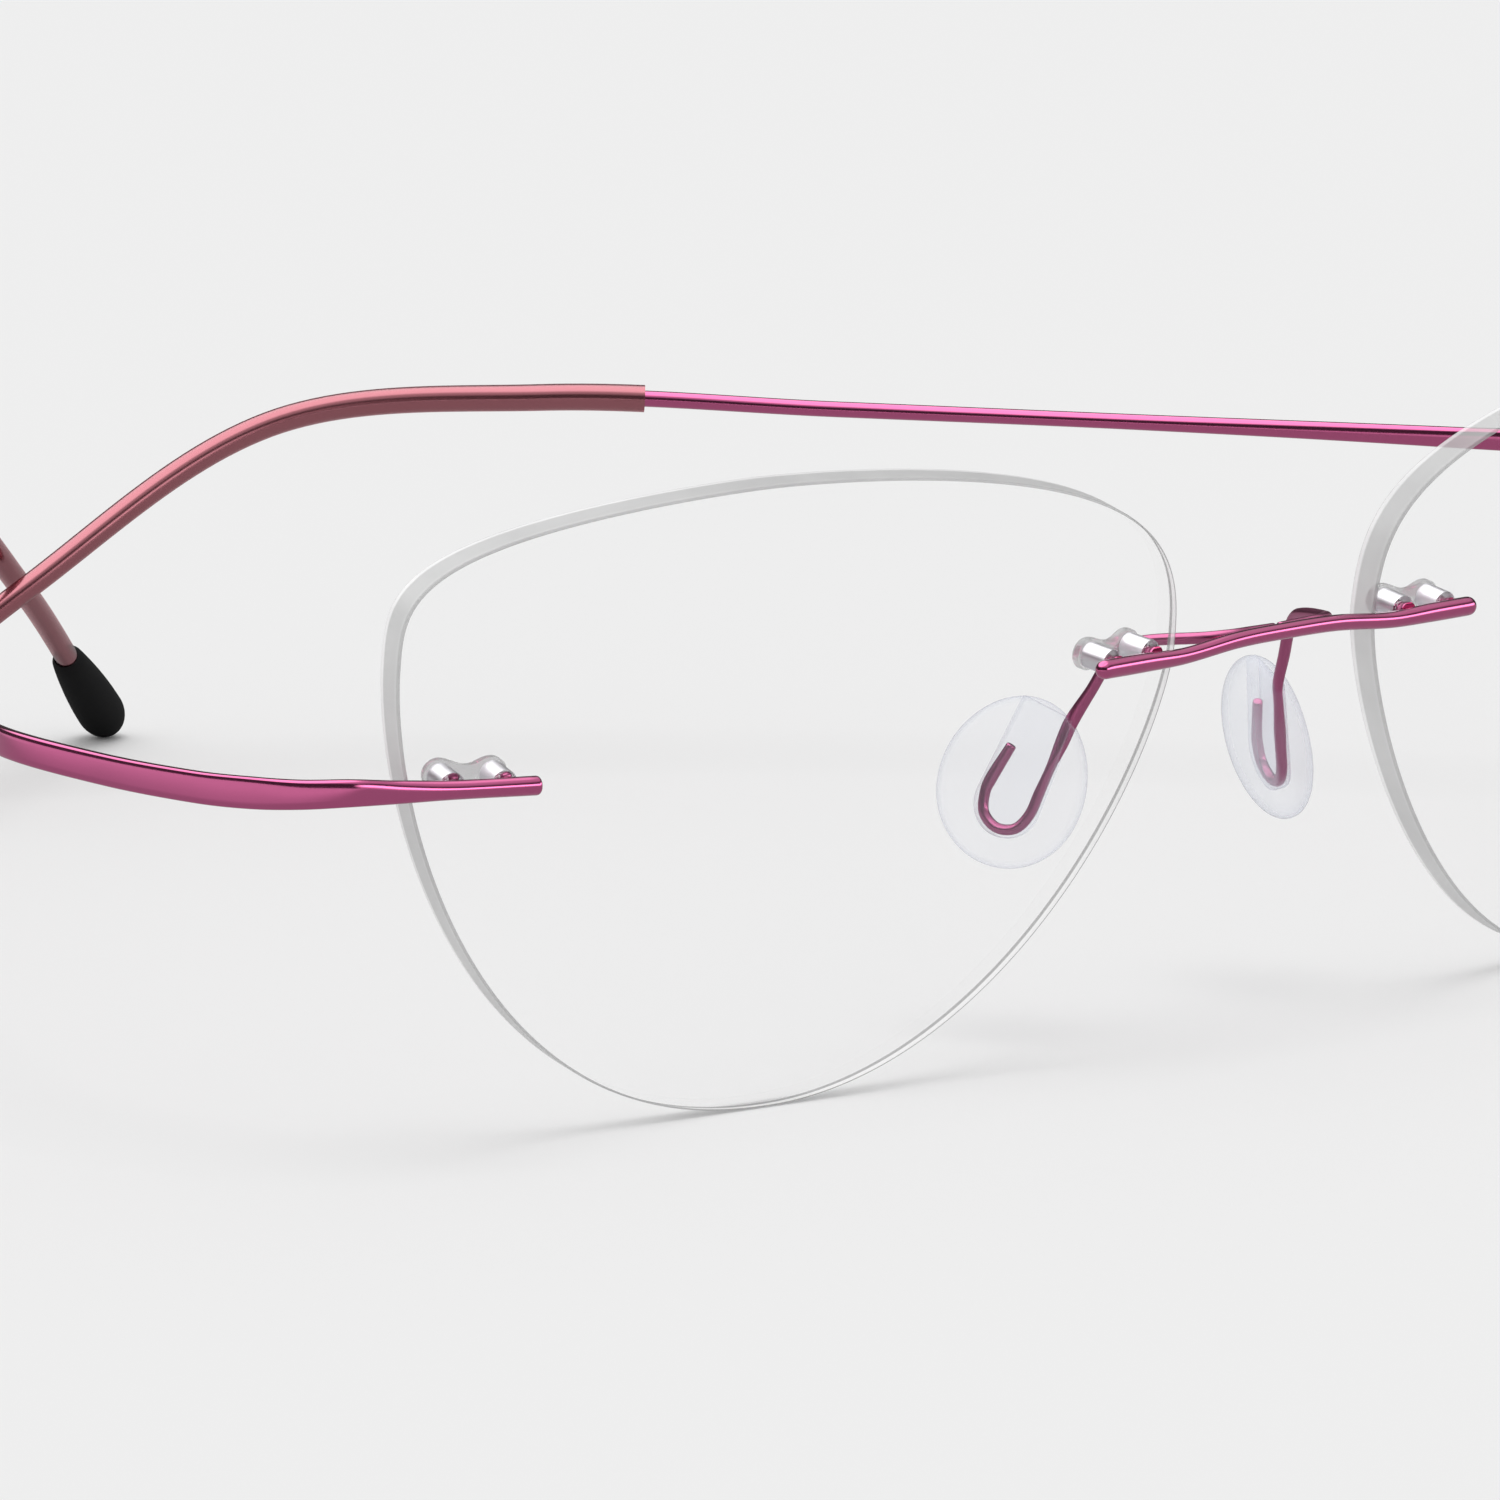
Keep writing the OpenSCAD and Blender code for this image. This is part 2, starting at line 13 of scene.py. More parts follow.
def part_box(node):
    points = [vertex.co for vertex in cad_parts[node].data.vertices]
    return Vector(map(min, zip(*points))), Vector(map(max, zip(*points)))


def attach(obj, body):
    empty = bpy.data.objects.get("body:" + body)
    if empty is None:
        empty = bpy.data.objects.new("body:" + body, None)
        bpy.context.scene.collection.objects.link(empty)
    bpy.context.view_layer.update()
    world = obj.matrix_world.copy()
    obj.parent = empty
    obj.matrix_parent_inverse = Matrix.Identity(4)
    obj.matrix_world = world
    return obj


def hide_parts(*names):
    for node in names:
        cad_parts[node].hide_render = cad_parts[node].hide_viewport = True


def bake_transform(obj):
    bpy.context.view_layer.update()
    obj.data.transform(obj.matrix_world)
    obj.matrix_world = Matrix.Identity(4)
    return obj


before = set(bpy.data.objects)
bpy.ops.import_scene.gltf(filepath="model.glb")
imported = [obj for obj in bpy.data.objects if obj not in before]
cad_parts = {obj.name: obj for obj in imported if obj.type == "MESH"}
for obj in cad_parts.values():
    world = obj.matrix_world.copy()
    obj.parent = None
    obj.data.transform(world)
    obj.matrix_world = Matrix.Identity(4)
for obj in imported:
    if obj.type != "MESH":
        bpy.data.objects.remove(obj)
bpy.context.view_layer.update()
mm = 0.001

# ---- Camera ------------------------------
# A long lens a little over a metre away looks at the wearer's right half of the glasses
# from in front, 43 degrees round to that side and a little from above.
view_turn = math.radians(43.49)
view_drop = math.radians(10.71)
view_distance = 1.212
view_aim = Vector((-39.65, -56.06, 21.84)) * mm
view_lens = 523.94
sensor = 36.0

# Where things are in the photograph, in pixels of its 1500 by 1500 frame
photo_w, photo_h = 1500, 1500
image_points = {
    "lens_outer_side": (382, 690),
    "lens_top": (915, 468),
    "lens_nose_side": (1179, 606),
    "lens_bottom": (712, 1111),
    "far_lens_nose_side": (1347, 645),
    "rod_end": (541, 787),
    "rod_weld_outer": (454, 776),
    "rod_weld_inner": (506, 776),
    "bridge_near_end": (1097, 665),
    "bridge_far_end": (1475, 607),
    "near_pad_left": (934, 796),
    "near_pad_bottom": (1004, 868),
    "far_pad_bottom": (1272, 817),
    "far_pad_right": (1315, 750),
    "loop_bottom": (998, 831),
    "sleeve_front": (643, 398),
    "sleeve_top": (560, 384),
    "tip_bottom": (104, 737),
}

look = Vector((math.sin(view_turn) * math.cos(view_drop),
               math.cos(view_turn) * math.cos(view_drop), -math.sin(view_drop)))
camera_data = bpy.data.cameras.new("camera")
camera_data.lens = view_lens
camera_data.sensor_width = sensor
camera_data.sensor_fit = "AUTO"
camera_data.clip_start = 0.05
camera_data.clip_end = 20
camera = bpy.data.objects.new("camera", camera_data)
camera.location = view_aim - look * view_distance
camera.rotation_euler = look.to_track_quat("-Z", "Y").to_euler()
put_in_scene = bpy.context.scene.collection.objects.link
put_in_scene(camera)
bpy.context.scene.camera = camera
bpy.context.view_layer.update()


def in_photo(points):
    """Where points of the frame show in the photograph. In the camera's axes a point at
    depth d shows at the middle plus its sideways place over d, times the lens in pixels."""
    points = np.asarray(points, float).reshape(-1, 3)
    turned = (points - np.array(camera.location)) @ np.array(camera.matrix_world.to_3x3())
    scale = max(photo_w, photo_h) * camera_data.lens / camera_data.sensor_width
    x = photo_w / 2 - scale * turned[:, 0] / turned[:, 2]
    y = photo_h / 2 + scale * turned[:, 1] / turned[:, 2]
    return np.stack([x, y], 1)


def on_surface(name, surface):
    """The place on a surface that shows at a named image point: the ray through that
    point, met with the surface's faces, or the nearest place to the ray if it misses."""
    x, y = image_points[name]
    side = max(photo_w, photo_h)
    ray = Vector((x - photo_w / 2 + camera_data.shift_x * side,
                  photo_h / 2 - y + camera_data.shift_y * side,
                  -side * camera_data.lens / camera_data.sensor_width))
    ray = (camera.matrix_world.to_3x3() @ ray).normalized()
    hit = surface.ray_cast(camera.location, ray)[0]
    if hit is not None:
        return np.array(hit)
    tries = [camera.location + ray * d for d in np.linspace(0.9, 1.6, 701) * view_distance]
    return np.array(min((surface.find_nearest(p) for p in tries), key=lambda n: n[3])[0])


# ---- Table and light ---------------------
# A wide pale table, evenly lit by the room and one soft lamp high up. Polished metal
# mirrors a studio instead: bands of light by height, a window on the wearer's left in
# front, a lamp above and behind, and a dimmer table, except far off on the right.
pale = 0.855
room_light, lamp_light = 0.79, 0.22
table_half, table_drop = 2.5, 0.02 * mm
dim_from, dim_to, dimming = -0.19, -0.12, 0.42
window_way, window_from, window_to = (0.48, -0.88, 0), 0.62, 0.82
back_lamp_way, back_lamp_from, back_lamp_to = (-0.2, 0.3, 1), 0.7, 0.86
back_lamp_light = 2.16
brightest = 3
# The light at each height of the studio, from 0, straight down, to 1, straight up
room_bands = ((0, 0.5), (0.45, 0.4), (0.49, 0.08), (0.74, 0.05), (0.84, 0.7), (1, 0.7))
window_bands = ((0, 0.5), (0.5, 0.5), (0.56, 0.8), (0.585, 3), (0.68, 3), (0.71, 0.12),
                (0.92, 0.1), (0.96, 0.9), (1, 1))
colour_a, colour_b, mixed_colour = 6, 7, 2


def node_tree(owner):
    """A fresh node tree for a material or world, with four functions. add makes a node,
    link joins two sockets, mix makes one shader of two, in which the share of the second
    is a number or another node's output, and finish makes a shader the surface."""
    owner.use_nodes = True
    owner.node_tree.nodes.clear()
    link = owner.node_tree.links.new

    def add(kind, **values):
        node = owner.node_tree.nodes.new("ShaderNode" + kind)
        for key, value in values.items():
            if hasattr(node, key):
                setattr(node, key, value)
            else:
                node.inputs[key.replace("_", " ")].default_value = value
        return node

    def mix(share, first, second):
        node = add("MixShader")
        if isinstance(share, float):
            node.inputs[0].default_value = share
        else:
            link(share, node.inputs[0])
        link(first.outputs[0], node.inputs[1])
        link(second.outputs[0], node.inputs[2])
        return node

    def finish(shader):
        out = add("OutputWorld" if owner == bpy.context.scene.world else "OutputMaterial")
        link(shader.outputs[0], out.inputs["Surface"])

    return add, link, mix, finish


def tone_ramp(add, stops):
    """A ramp node with a grey level or a colour at each place, straight between them."""
    node = add("ValToRGB")
    elements = node.color_ramp.elements
    while len(elements) < len(stops):
        elements.new(0.5)
    for element, (place, tone) in zip(elements, stops):
        element.position = place
        element.color = (*tone, 1) if isinstance(tone, tuple) else (tone, tone, tone, 1)
    return node


table_mesh = bpy.data.meshes.new("table")
corners = np.array([(-1, -1, 0), (1, -1, 0), (1, 1, 0), (-1, 1, 0)]) * table_half
table_mesh.from_pydata(corners.tolist(), [], [(0, 1, 2, 3)])
table = bpy.data.objects.new("table", table_mesh)
put_in_scene(table)
table.location.z = -table_drop
paint = bpy.data.materials.new("table_top")
add, link, mix, finish = node_tree(paint)
place = add("TexCoord")
split = add("SeparateXYZ")
darker = add("MapRange", From_Min=dim_from, From_Max=dim_to, To_Max=dimming)
path = add("LightPath")
in_mirror = add("Math", operation="MULTIPLY")
shade = add("Math", operation="SUBTRACT")
shade.inputs[0].default_value = pale
matt = add("BsdfDiffuse")
link(place.outputs["Object"], split.inputs[0])
link(split.outputs["X"], darker.inputs["Value"])
link(darker.outputs[0], in_mirror.inputs[0])
link(path.outputs["Is Glossy Ray"], in_mirror.inputs[1])
link(in_mirror.outputs[0], shade.inputs[1])
link(shade.outputs[0], matt.inputs["Color"])
finish(matt)
table_mesh.materials.append(paint)

world = bpy.data.worlds.new("room")
bpy.context.scene.world = world
add, link, mix, finish = node_tree(world)
way = add("TexCoord")
split = add("SeparateXYZ")
height = add("MapRange", From_Min=-1)
link(way.outputs["Generated"], split.inputs[0])
link(split.outputs["Z"], height.inputs["Value"])


def towards(direction, low, high):
    """How squarely a ray runs in a direction of the studio: the two's dot product, which
    counts as 0 up to low and as 1 from high on."""
    dot = add("VectorMath", operation="DOT_PRODUCT")
    dot.inputs[1].default_value = direction
    share = add("MapRange", From_Min=low, From_Max=high)
    link(way.outputs["Generated"], dot.inputs[0])
    link(dot.outputs["Value"], share.inputs["Value"])
    return share.outputs[0]


studio = add("Mix", data_type="RGBA")
link(towards(window_way, window_from, window_to), studio.inputs["Factor"])
for bands, socket in ((room_bands, colour_a), (window_bands, colour_b)):
    tones = tone_ramp(add, [(place, light / brightest) for place, light in bands])
    link(height.outputs[0], tones.inputs[0])
    link(tones.outputs[0], studio.inputs[socket])
with_lamp = add("Mix", data_type="RGBA")
with_lamp.inputs[colour_b].default_value = (*[back_lamp_light / brightest] * 3, 1)
link(towards(back_lamp_way, back_lamp_from, back_lamp_to), with_lamp.inputs["Factor"])
link(studio.outputs[mixed_colour], with_lamp.inputs[colour_a])
mirrored = add("Background", Strength=brightest)
link(with_lamp.outputs[mixed_colour], mirrored.inputs["Color"])
plain = add("Background", Color=(1, 1, 1, 1), Strength=room_light)
behind = add("Background", Color=(pale, pale, pale, 1), Strength=1)
path = add("LightPath")
seen = add("Math", operation="ADD", use_clamp=True)
link(path.outputs["Is Camera Ray"], seen.inputs[0])
link(path.outputs["Is Transmission Ray"], seen.inputs[1])
around = mix(path.outputs["Is Glossy Ray"], plain, mirrored)
finish(mix(seen.outputs[0], around, behind))

lamp_data = bpy.data.lights.new("soft_lamp", "SUN")
lamp_data.energy = lamp_light * math.pi
lamp_data.angle = math.radians(35)
lamp = bpy.data.objects.new("soft_lamp", lamp_data)
lamp.rotation_euler = Vector((0.12, 0.2, -1)).to_track_quat("-Z", "Y").to_euler()
lamp.visible_glossy = False
put_in_scene(lamp)
bpy.context.scene.view_settings.view_transform = "Standard"

# ---- Lenses ------------------------------
# Each lens is a clear plastic blank, a slice of a 120 mm ball cut to a soft triangle.
# Its edge is ground flat, lightly polished and rounded over, and two pairs of holes
# take the bushes. The faces are coated, so they hardly mirror anything.
lens_width, lens_height, lens_thick, lens_radius = 54 * mm, 37.6 * mm, 1.7 * mm, 120 * mm
lens_gap = 15.6 * mm
lens_wrap = math.radians(7.5)
lens_lean = math.radians(11.3)
crown_out, base_out = 3.9 * mm, -0.7 * mm
nose_side_rise, temple_side_rise = 5 * mm, 9.5 * mm
half_w, half_h = lens_width / 2, lens_height / 2
edge_round = 0.14 * mm
# How square each corner of the outline is, outwards and upwards: powers of superellipses
top_nose, top_temple = (1.82, 2.89), (1.7, 3.41)
low_temple, low_nose = (2.18, 1.7), (2.05, 1.45)
nose_joint_in, temple_joint_in = 3.7 * mm, 5.3 * mm
nose_joint = (nose_joint_in - half_w, 5.2 * mm)
temple_joint = (half_w - temple_joint_in, 3 * mm)
prong_spacing = 3.2 * mm
plug_r = 0.75 * mm
fit_gap = 0.02 * mm


def lens_outline(count):
    """The outline, evenly spaced: four corners, each a quarter of a superellipse. Along
    a corner one distance is cos(t) and the other sin(t), raised to 2 over its power."""
    t = np.linspace(0, np.pi / 2, 400, endpoint=False)
    c, s = np.cos(t), np.sin(t)
    high_nose = half_h - nose_side_rise
    high_temple = half_h - temple_side_rise
    quarters = (
        (crown_out - (half_w + crown_out) * c ** (2 / top_nose[0]),
         nose_side_rise + high_nose * s ** (2 / top_nose[1])),
        (crown_out + (half_w - crown_out) * s ** (2 / top_temple[0]),
         temple_side_rise + high_temple * c ** (2 / top_temple[1])),
        (base_out + (half_w - base_out) * c ** (2 / low_temple[0]),
         temple_side_rise - (half_h + temple_side_rise) * s ** (2 / low_temple[1])),
        (base_out - (half_w + base_out) * s ** (2 / low_nose[0]),
         nose_side_rise - (half_h + nose_side_rise) * c ** (2 / low_nose[1])),
    )
    line = np.concatenate([np.stack(q, 1) for q in quarters])
    line = np.concatenate([line, line[:1]])
    run = np.concatenate([[0], np.cumsum(np.linalg.norm(np.diff(line, axis=0), axis=1))])
    even = np.linspace(0, run[-1], count, endpoint=False)
    return np.stack([np.interp(even, run, line[:, 0]), np.interp(even, run, line[:, 1])], 1)


def on_ball(flat, depth):
    """Lens places from flat ones (outwards, up): each at the given depth behind the
    front, measured on balls that share one centre, lens_radius behind the middle."""
    out, up = flat[:, 0], flat[:, 1]
    y = lens_radius - np.sqrt((lens_radius - depth) ** 2 - out**2 - up**2)
    return np.stack([out, y, up], 1)


def turn(axis, angle):
    """The matrix that turns points by an angle about one axis."""
    return np.array(Matrix.Rotation(angle, 3, axis))


def joint_frame(joint):
    """The turn from a joint's own axes, with y straight in through the lens, to the
    lens's: up by the joint's height on the ball, then outwards round the ball."""
    out, up = joint
    dip = math.asin(up / lens_radius)
    return turn("Z", math.asin(out / (lens_radius * math.cos(dip)))) @ turn("X", -dip)


def from_joint(joint, points):
    """Lens places of points given in a joint's own axes: turned about the ball's centre."""
    centre = np.array([0, lens_radius, 0])
    return (np.asarray(points, float) - centre) @ joint_frame(joint).T + centre


def ball_depth(x, z, depth):
    """How far in, at x and z in a joint's axes, a ball depth behind the front lies."""
    return lens_radius - np.sqrt((lens_radius - depth) ** 2 - x**2 - z**2)


def round_angles(count):
    """A row of angles evenly round a circle, from 0."""
    return np.linspace(0, 2 * np.pi, count, endpoint=False)


def hole_ring(joint, side, depth, count=28):
    """A hole's edge where it meets the ball at a depth: a circle about the prong's line."""
    angle = round_angles(count)
    x = side * prong_spacing / 2 + (plug_r + fit_gap) * np.cos(angle)
    z = (plug_r + fit_gap) * np.sin(angle)
    return from_joint(joint, np.stack([x, ball_depth(x, z, depth), z], 1))


def lens_face(edge, holes, depth, spacing=1.3 * mm):
    """One face of the lens: evenly strewn points inside the outline and outside the
    holes, joined into the roundest triangles, then lifted onto the ball."""
    row_spacing = spacing * 0.866
    grid_x, grid_z = np.meshgrid(np.arange(-half_w, half_w, spacing),
                                 np.arange(-half_h, half_h, row_spacing))
    grid_x[::2] += spacing / 2
    strewn = np.stack([grid_x.ravel(), grid_z.ravel()], 1)
    loops = [edge] + [h[:, [0, 2]] for h in holes]
    edge_gap = np.linalg.norm(strewn[:, None] - edge[None], axis=2).min(1)
    after = np.roll(edge, -1, axis=0)
    crosses = ((edge[:, 1] > strewn[:, None, 1]) != (after[:, 1] > strewn[:, None, 1])) & (
        strewn[:, None, 0] < edge[:, 0] + (after[:, 0] - edge[:, 0])
        * (strewn[:, None, 1] - edge[:, 1]) / (after[:, 1] - edge[:, 1] + 1e-12))
    centres = np.stack([h[:, [0, 2]].mean(0) for h in holes])
    clear = np.linalg.norm(strewn[:, None] - centres[None], axis=2).min(1) > plug_r * 1.5
    strewn = strewn[(crosses.sum(1) % 2 == 1) & clear & (edge_gap > spacing * 0.5)]
    starts = np.cumsum([0] + [len(loop) for loop in loops])
    ties = [(int(a + i), int(a + (i + 1) % (b - a)))
            for a, b in zip(starts[:-1], starts[1:]) for i in range(b - a)]
    flat = np.concatenate(loops + [strewn])
    found = delaunay_2d_cdt([Vector(p) for p in flat / mm], ties, [], 1, 1e-7)
    flat = np.array([p[:] for p in found[0]]) * mm
    tris = np.array(found[2])
    middles = flat[tris].mean(1)
    clear = np.linalg.norm(middles[:, None] - centres[None], axis=2).min(1) >= plug_r * 0.98
    return on_ball(flat, depth), tris[clear], starts


def strip(first, second, count):
    """Faces between two closed rings of count points whose numbers start at first and
    second."""
    i = np.arange(count)
    j = (i + 1) % count
    return np.stack([first + i, first + j, second + j, second + i], 1)


def to_frame(points):
    """Frame places of the left lens's own: leant, turned back, moved out and stood up."""
    return np.asarray(points) @ lens_turn.T + lens_place


def add_piece(name, verts, faces, materials, side=1, parts=None, smooth=40):
    """A new object from arrays, whose faces run clockwise as seen from outside. side -1
    mirrors it to the wearer's right, which turns them round. parts gives each face its
    material's number. Edges sharper than smooth degrees stay crisp."""
    verts = np.asarray(verts) * (side, 1, 1)
    groups = [np.asarray(f) for f in (faces if isinstance(faces, list) else [faces])]
    if side > 0:
        groups = [f[:, ::-1] for f in groups]
    mesh = bpy.data.meshes.new(name)
    mesh.from_pydata(verts.tolist(), [], [f for g in groups for f in g.tolist()])
    for material in materials:
        mesh.materials.append(material)
    if parts is not None:
        mesh.polygons.foreach_set("material_index", np.concatenate(
            [np.full(len(g), p) for g, p in zip(groups, parts)]).astype(np.int32))
    mesh.polygons.foreach_set("use_smooth", np.ones(len(mesh.polygons), bool))
    mesh.set_sharp_from_angle(angle=math.radians(smooth))
    mesh.update()
    piece = bpy.data.objects.new(name, mesh)
    put_in_scene(piece)
    return piece


def unit(ways):
    """Vectors of length 1 along the given ones: each over its own length."""
    return ways / np.linalg.norm(ways, axis=-1, keepdims=True)


outline = lens_outline(360)
across = np.roll(outline, -1, axis=0) - np.roll(outline, 1, axis=0)
inward = unit(np.stack([across[:, 1], -across[:, 0]], 1))
inward *= np.sign((-(outline * inward).sum(1)).mean())
rim = np.concatenate([on_ball(outline, 0), on_ball(outline, lens_thick)])
lens_turn = turn("Z", lens_wrap) @ turn("X", lens_lean)
leant = rim @ lens_turn.T
lens_place = np.array([
    lens_gap / 2 + half_w * math.cos(lens_wrap)
    + (lens_radius - math.sqrt(lens_radius**2 - half_w**2)) * math.sin(lens_wrap),
    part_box("lens_left")[0].y - leant[:, 1].min(),
    -leant[:, 2].min(),
])
bend_steps = np.linspace(0, np.pi / 2, 5)
rounding = edge_round * np.stack([1 - np.sin(bend_steps), 1 - np.cos(bend_steps)], 1)
flat_part = np.stack([np.zeros(5), np.linspace(0.12, 0.88, 5) * lens_thick], 1)
profile = np.concatenate([rounding, flat_part, rounding[::-1] * (1, -1) + (0, lens_thick)])
lens_joints = [(j, s) for j in (nose_joint, temple_joint) for s in (-1, 1)]
front_holes = [hole_ring(j, s, 0) for j, s in lens_joints]
back_holes = [hole_ring(j, s, lens_thick) for j, s in lens_joints]
edge = outline + inward * edge_round
front, front_tris, starts = lens_face(edge, front_holes, 0)
back, back_tris, starts = lens_face(edge, back_holes, lens_thick)
rings = [on_ball(outline + inward * inset, depth) for inset, depth in profile[1:-1]]
ring_starts = [0] + [len(front) + len(back) + i * len(outline) for i in range(len(rings))]
ring_starts.append(len(front))
rim_faces = np.concatenate([
    strip(b, a, len(outline)) for a, b in zip(ring_starts[:-1], ring_starts[1:])])
hole_faces = np.concatenate([
    strip(a, a + len(front), b - a) for a, b in zip(starts[1:-1], starts[2:])])
lens_verts = to_frame(np.concatenate([front, back] + rings))
edge_depth = np.concatenate([
    np.zeros(len(front)), np.ones(len(back)),
    np.repeat(profile[1:-1, 1] / lens_thick, len(outline))])

# Anti-reflection coating: clear, with a trace of gloss towards the sides
coated = bpy.data.materials.new("coated_lens_face")
add, link, mix, finish = node_tree(coated)
clear = add("BsdfTransparent", Color=(0.999, 0.999, 0.999, 1))
gloss = add("BsdfGlossy", Color=(0.9, 0.95, 1, 1), Roughness=0.02)
facing = add("LayerWeight", Blend=0.1)
fade = add("Math", operation="MULTIPLY")
fade.inputs[1].default_value = 0.03
link(facing.outputs["Facing"], fade.inputs[0])
finish(mix(fade.outputs[0], clear, gloss))

# The drills leave the walls of the holes frosted white
drilled = bpy.data.materials.new("drilled_hole")
add, link, mix, finish = node_tree(drilled)
see = add("BsdfTransparent", Color=(1, 1, 1, 1))
frost = add("BsdfPrincipled", Base_Color=(0.97, 0.96, 1, 1), Metallic=1.0,
            Roughness=0.4)
finish(mix(0.85, see, frost))

# From outside the edge is satin grey. It is a little darker at its front corner as painted
# shade, and has a bright band near its back corner as a painted highlight. Seen through the
# clear lens it hardly shows, apart from painted lines at and close behind its front corner:
# a painted highlight between two grey lines of painted shade. All of it goes by the share
# of the lens's thickness that lies in front.
ground = bpy.data.materials.new("ground_lens_edge_painted_light")
add, link, mix, finish = node_tree(ground)
coords = add("TexCoord")
cloudy = add("TexNoise", Scale=140, Detail=3)
tone = tone_ramp(add, ((0.3, (0.8, 0.795, 0.8)), (0.7, 1)))
depth = add("Attribute", attribute_name="edge_depth")
# Base colour by depth: satin grey, with painted shade at the front corner and a painted
# highlight near the back
bands = tone_ramp(add, ((0, 0.4), (0.05, 0.42), (0.1, 0.6), (0.2, 0.56), (0.76, 0.56),
                        (0.83, 1), (0.94, 1), (0.97, 0.5)))
# Seen from inside: how much shows at each depth, and the colour of the painted lines there:
# painted shade, painted highlight, painted shade
shows = tone_ramp(add, ((0, 0.85), (0.05, 0.85), (0.1, 0.7), (0.26, 0.7), (0.3, 0.75),
                        (0.4, 0.75), (0.44, 0.04), (1, 0.04)))
painted_lines = tone_ramp(add, ((0, 0.42), (0.06, 0.42), (0.1, 0.96), (0.26, 0.96), (0.3, 0.36),
                        (0.4, 0.36), (0.44, 0.85), (1, 0.85)))
grey_with_painted_light = add("VectorMath", operation="MULTIPLY")
body = add("BsdfPrincipled", Roughness=0.28, IOR=1.5)
see = add("BsdfTransparent", Color=(0.97, 0.97, 0.97, 1))
painted_line_shader = add("BsdfDiffuse")
clear = add("BsdfTransparent", Color=(0.995, 0.995, 0.995, 1))
which = add("NewGeometry")
link(coords.outputs["Object"], cloudy.inputs["Vector"])
link(cloudy.outputs[0], tone.inputs[0])
for by_depth in (bands, shows, painted_lines):
    link(depth.outputs["Fac"], by_depth.inputs[0])
link(tone.outputs[0], grey_with_painted_light.inputs[0])
link(bands.outputs[0], grey_with_painted_light.inputs[1])
link(grey_with_painted_light.outputs[0], body.inputs["Base Color"])
link(painted_lines.outputs[0], painted_line_shader.inputs["Color"])
outside = mix(0.7, see, body)
inside = mix(shows.outputs[0], clear, painted_line_shader)
finish(mix(which.outputs["Backfacing"], outside, inside))

sides = (("left", 1), ("right", -1))
for label, side in sides:
    lens = add_piece("clear_lens_" + label, lens_verts,
                     [front_tris[:, ::-1], back_tris + len(front), rim_faces, hole_faces],
                     [coated, ground, drilled], side, parts=[0, 0, 1, 2])
    marks = lens.data.attributes.new("edge_depth", "FLOAT", "POINT")
    marks.data.foreach_set("value", edge_depth.astype(np.float32))
    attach(lens, "front")
    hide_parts("lens_" + label)

# ---- Bushes ------------------------------
# Four twin bushes of clear plastic are pressed into the lens holes from behind. Each has
# two plugs, a low boss behind each plug and a web between, and grips the metal prongs.
boss_r, boss_high, bush_web = 0.93 * mm, 0.62 * mm, 0.4 * mm
boss_round, bush_waist, crown = 0.3 * mm, 0.62, 0.06 * mm
plug_set_in, plug_bevel = 0.05 * mm, 0.04 * mm
prong_r, prong_short = 0.4 * mm, 0.2 * mm
seat_gap = 0.05 * mm

plastic = bpy.data.materials.new("clear_plastic")
add, link, mix, finish = node_tree(plastic)
see = add("BsdfTransparent", Color=(1, 1, 1, 1))
glass = add("BsdfPrincipled", Base_Color=(0.985, 0.975, 1, 1), Roughness=0.04,
            IOR=1.42, Transmission_Weight=1)
finish(mix(0.5, see, glass))


def rings_to_faces(rings, points, closed=False):
    """Quads between rings of points that follow one another, and a flat face at each end,
    or where closed, quads from the last ring back to the first."""
    k = np.arange(rings if closed else rings - 1)[:, None]
    i = np.arange(points)[None]
    after = (k + 1) % rings
    j = (i + 1) % points
    quads = np.stack([k * points + i, k * points + j, after * points + j,
                      after * points + i], -1).reshape(-1, 4)
    if closed:
        return [quads]
    ring = np.arange(points)[None]
    return [quads, ring[:, ::-1], ring + (rings - 1) * points]


def gather(solids):
    """One piece's arrays from several solids, each a pair of points and face groups."""
    starts = np.cumsum([0] + [len(points) for points, groups in solids])
    faces = [g + start for (points, groups), start in zip(solids, starts) for g in groups]
    return np.concatenate([points for points, groups in solids]), faces


def turned_solid(profile, centre, points=40):
    """A solid turned about a line straight in through the lens at centre (x, z). The
    profile holds (radius, depth) pairs; a point at radius r and angle a lies at
    r cos(a) sideways and r sin(a) up."""
    profile = np.asarray(profile)
    angle = round_angles(points)
    x = centre[0] + profile[:, :1] * np.cos(angle)
    z = centre[1] + profile[:, :1] * np.sin(angle)
    y = np.repeat(profile[:, 1:], points, axis=1)
    return np.stack([x, y, z], -1).reshape(-1, 3), rings_to_faces(len(profile), points)


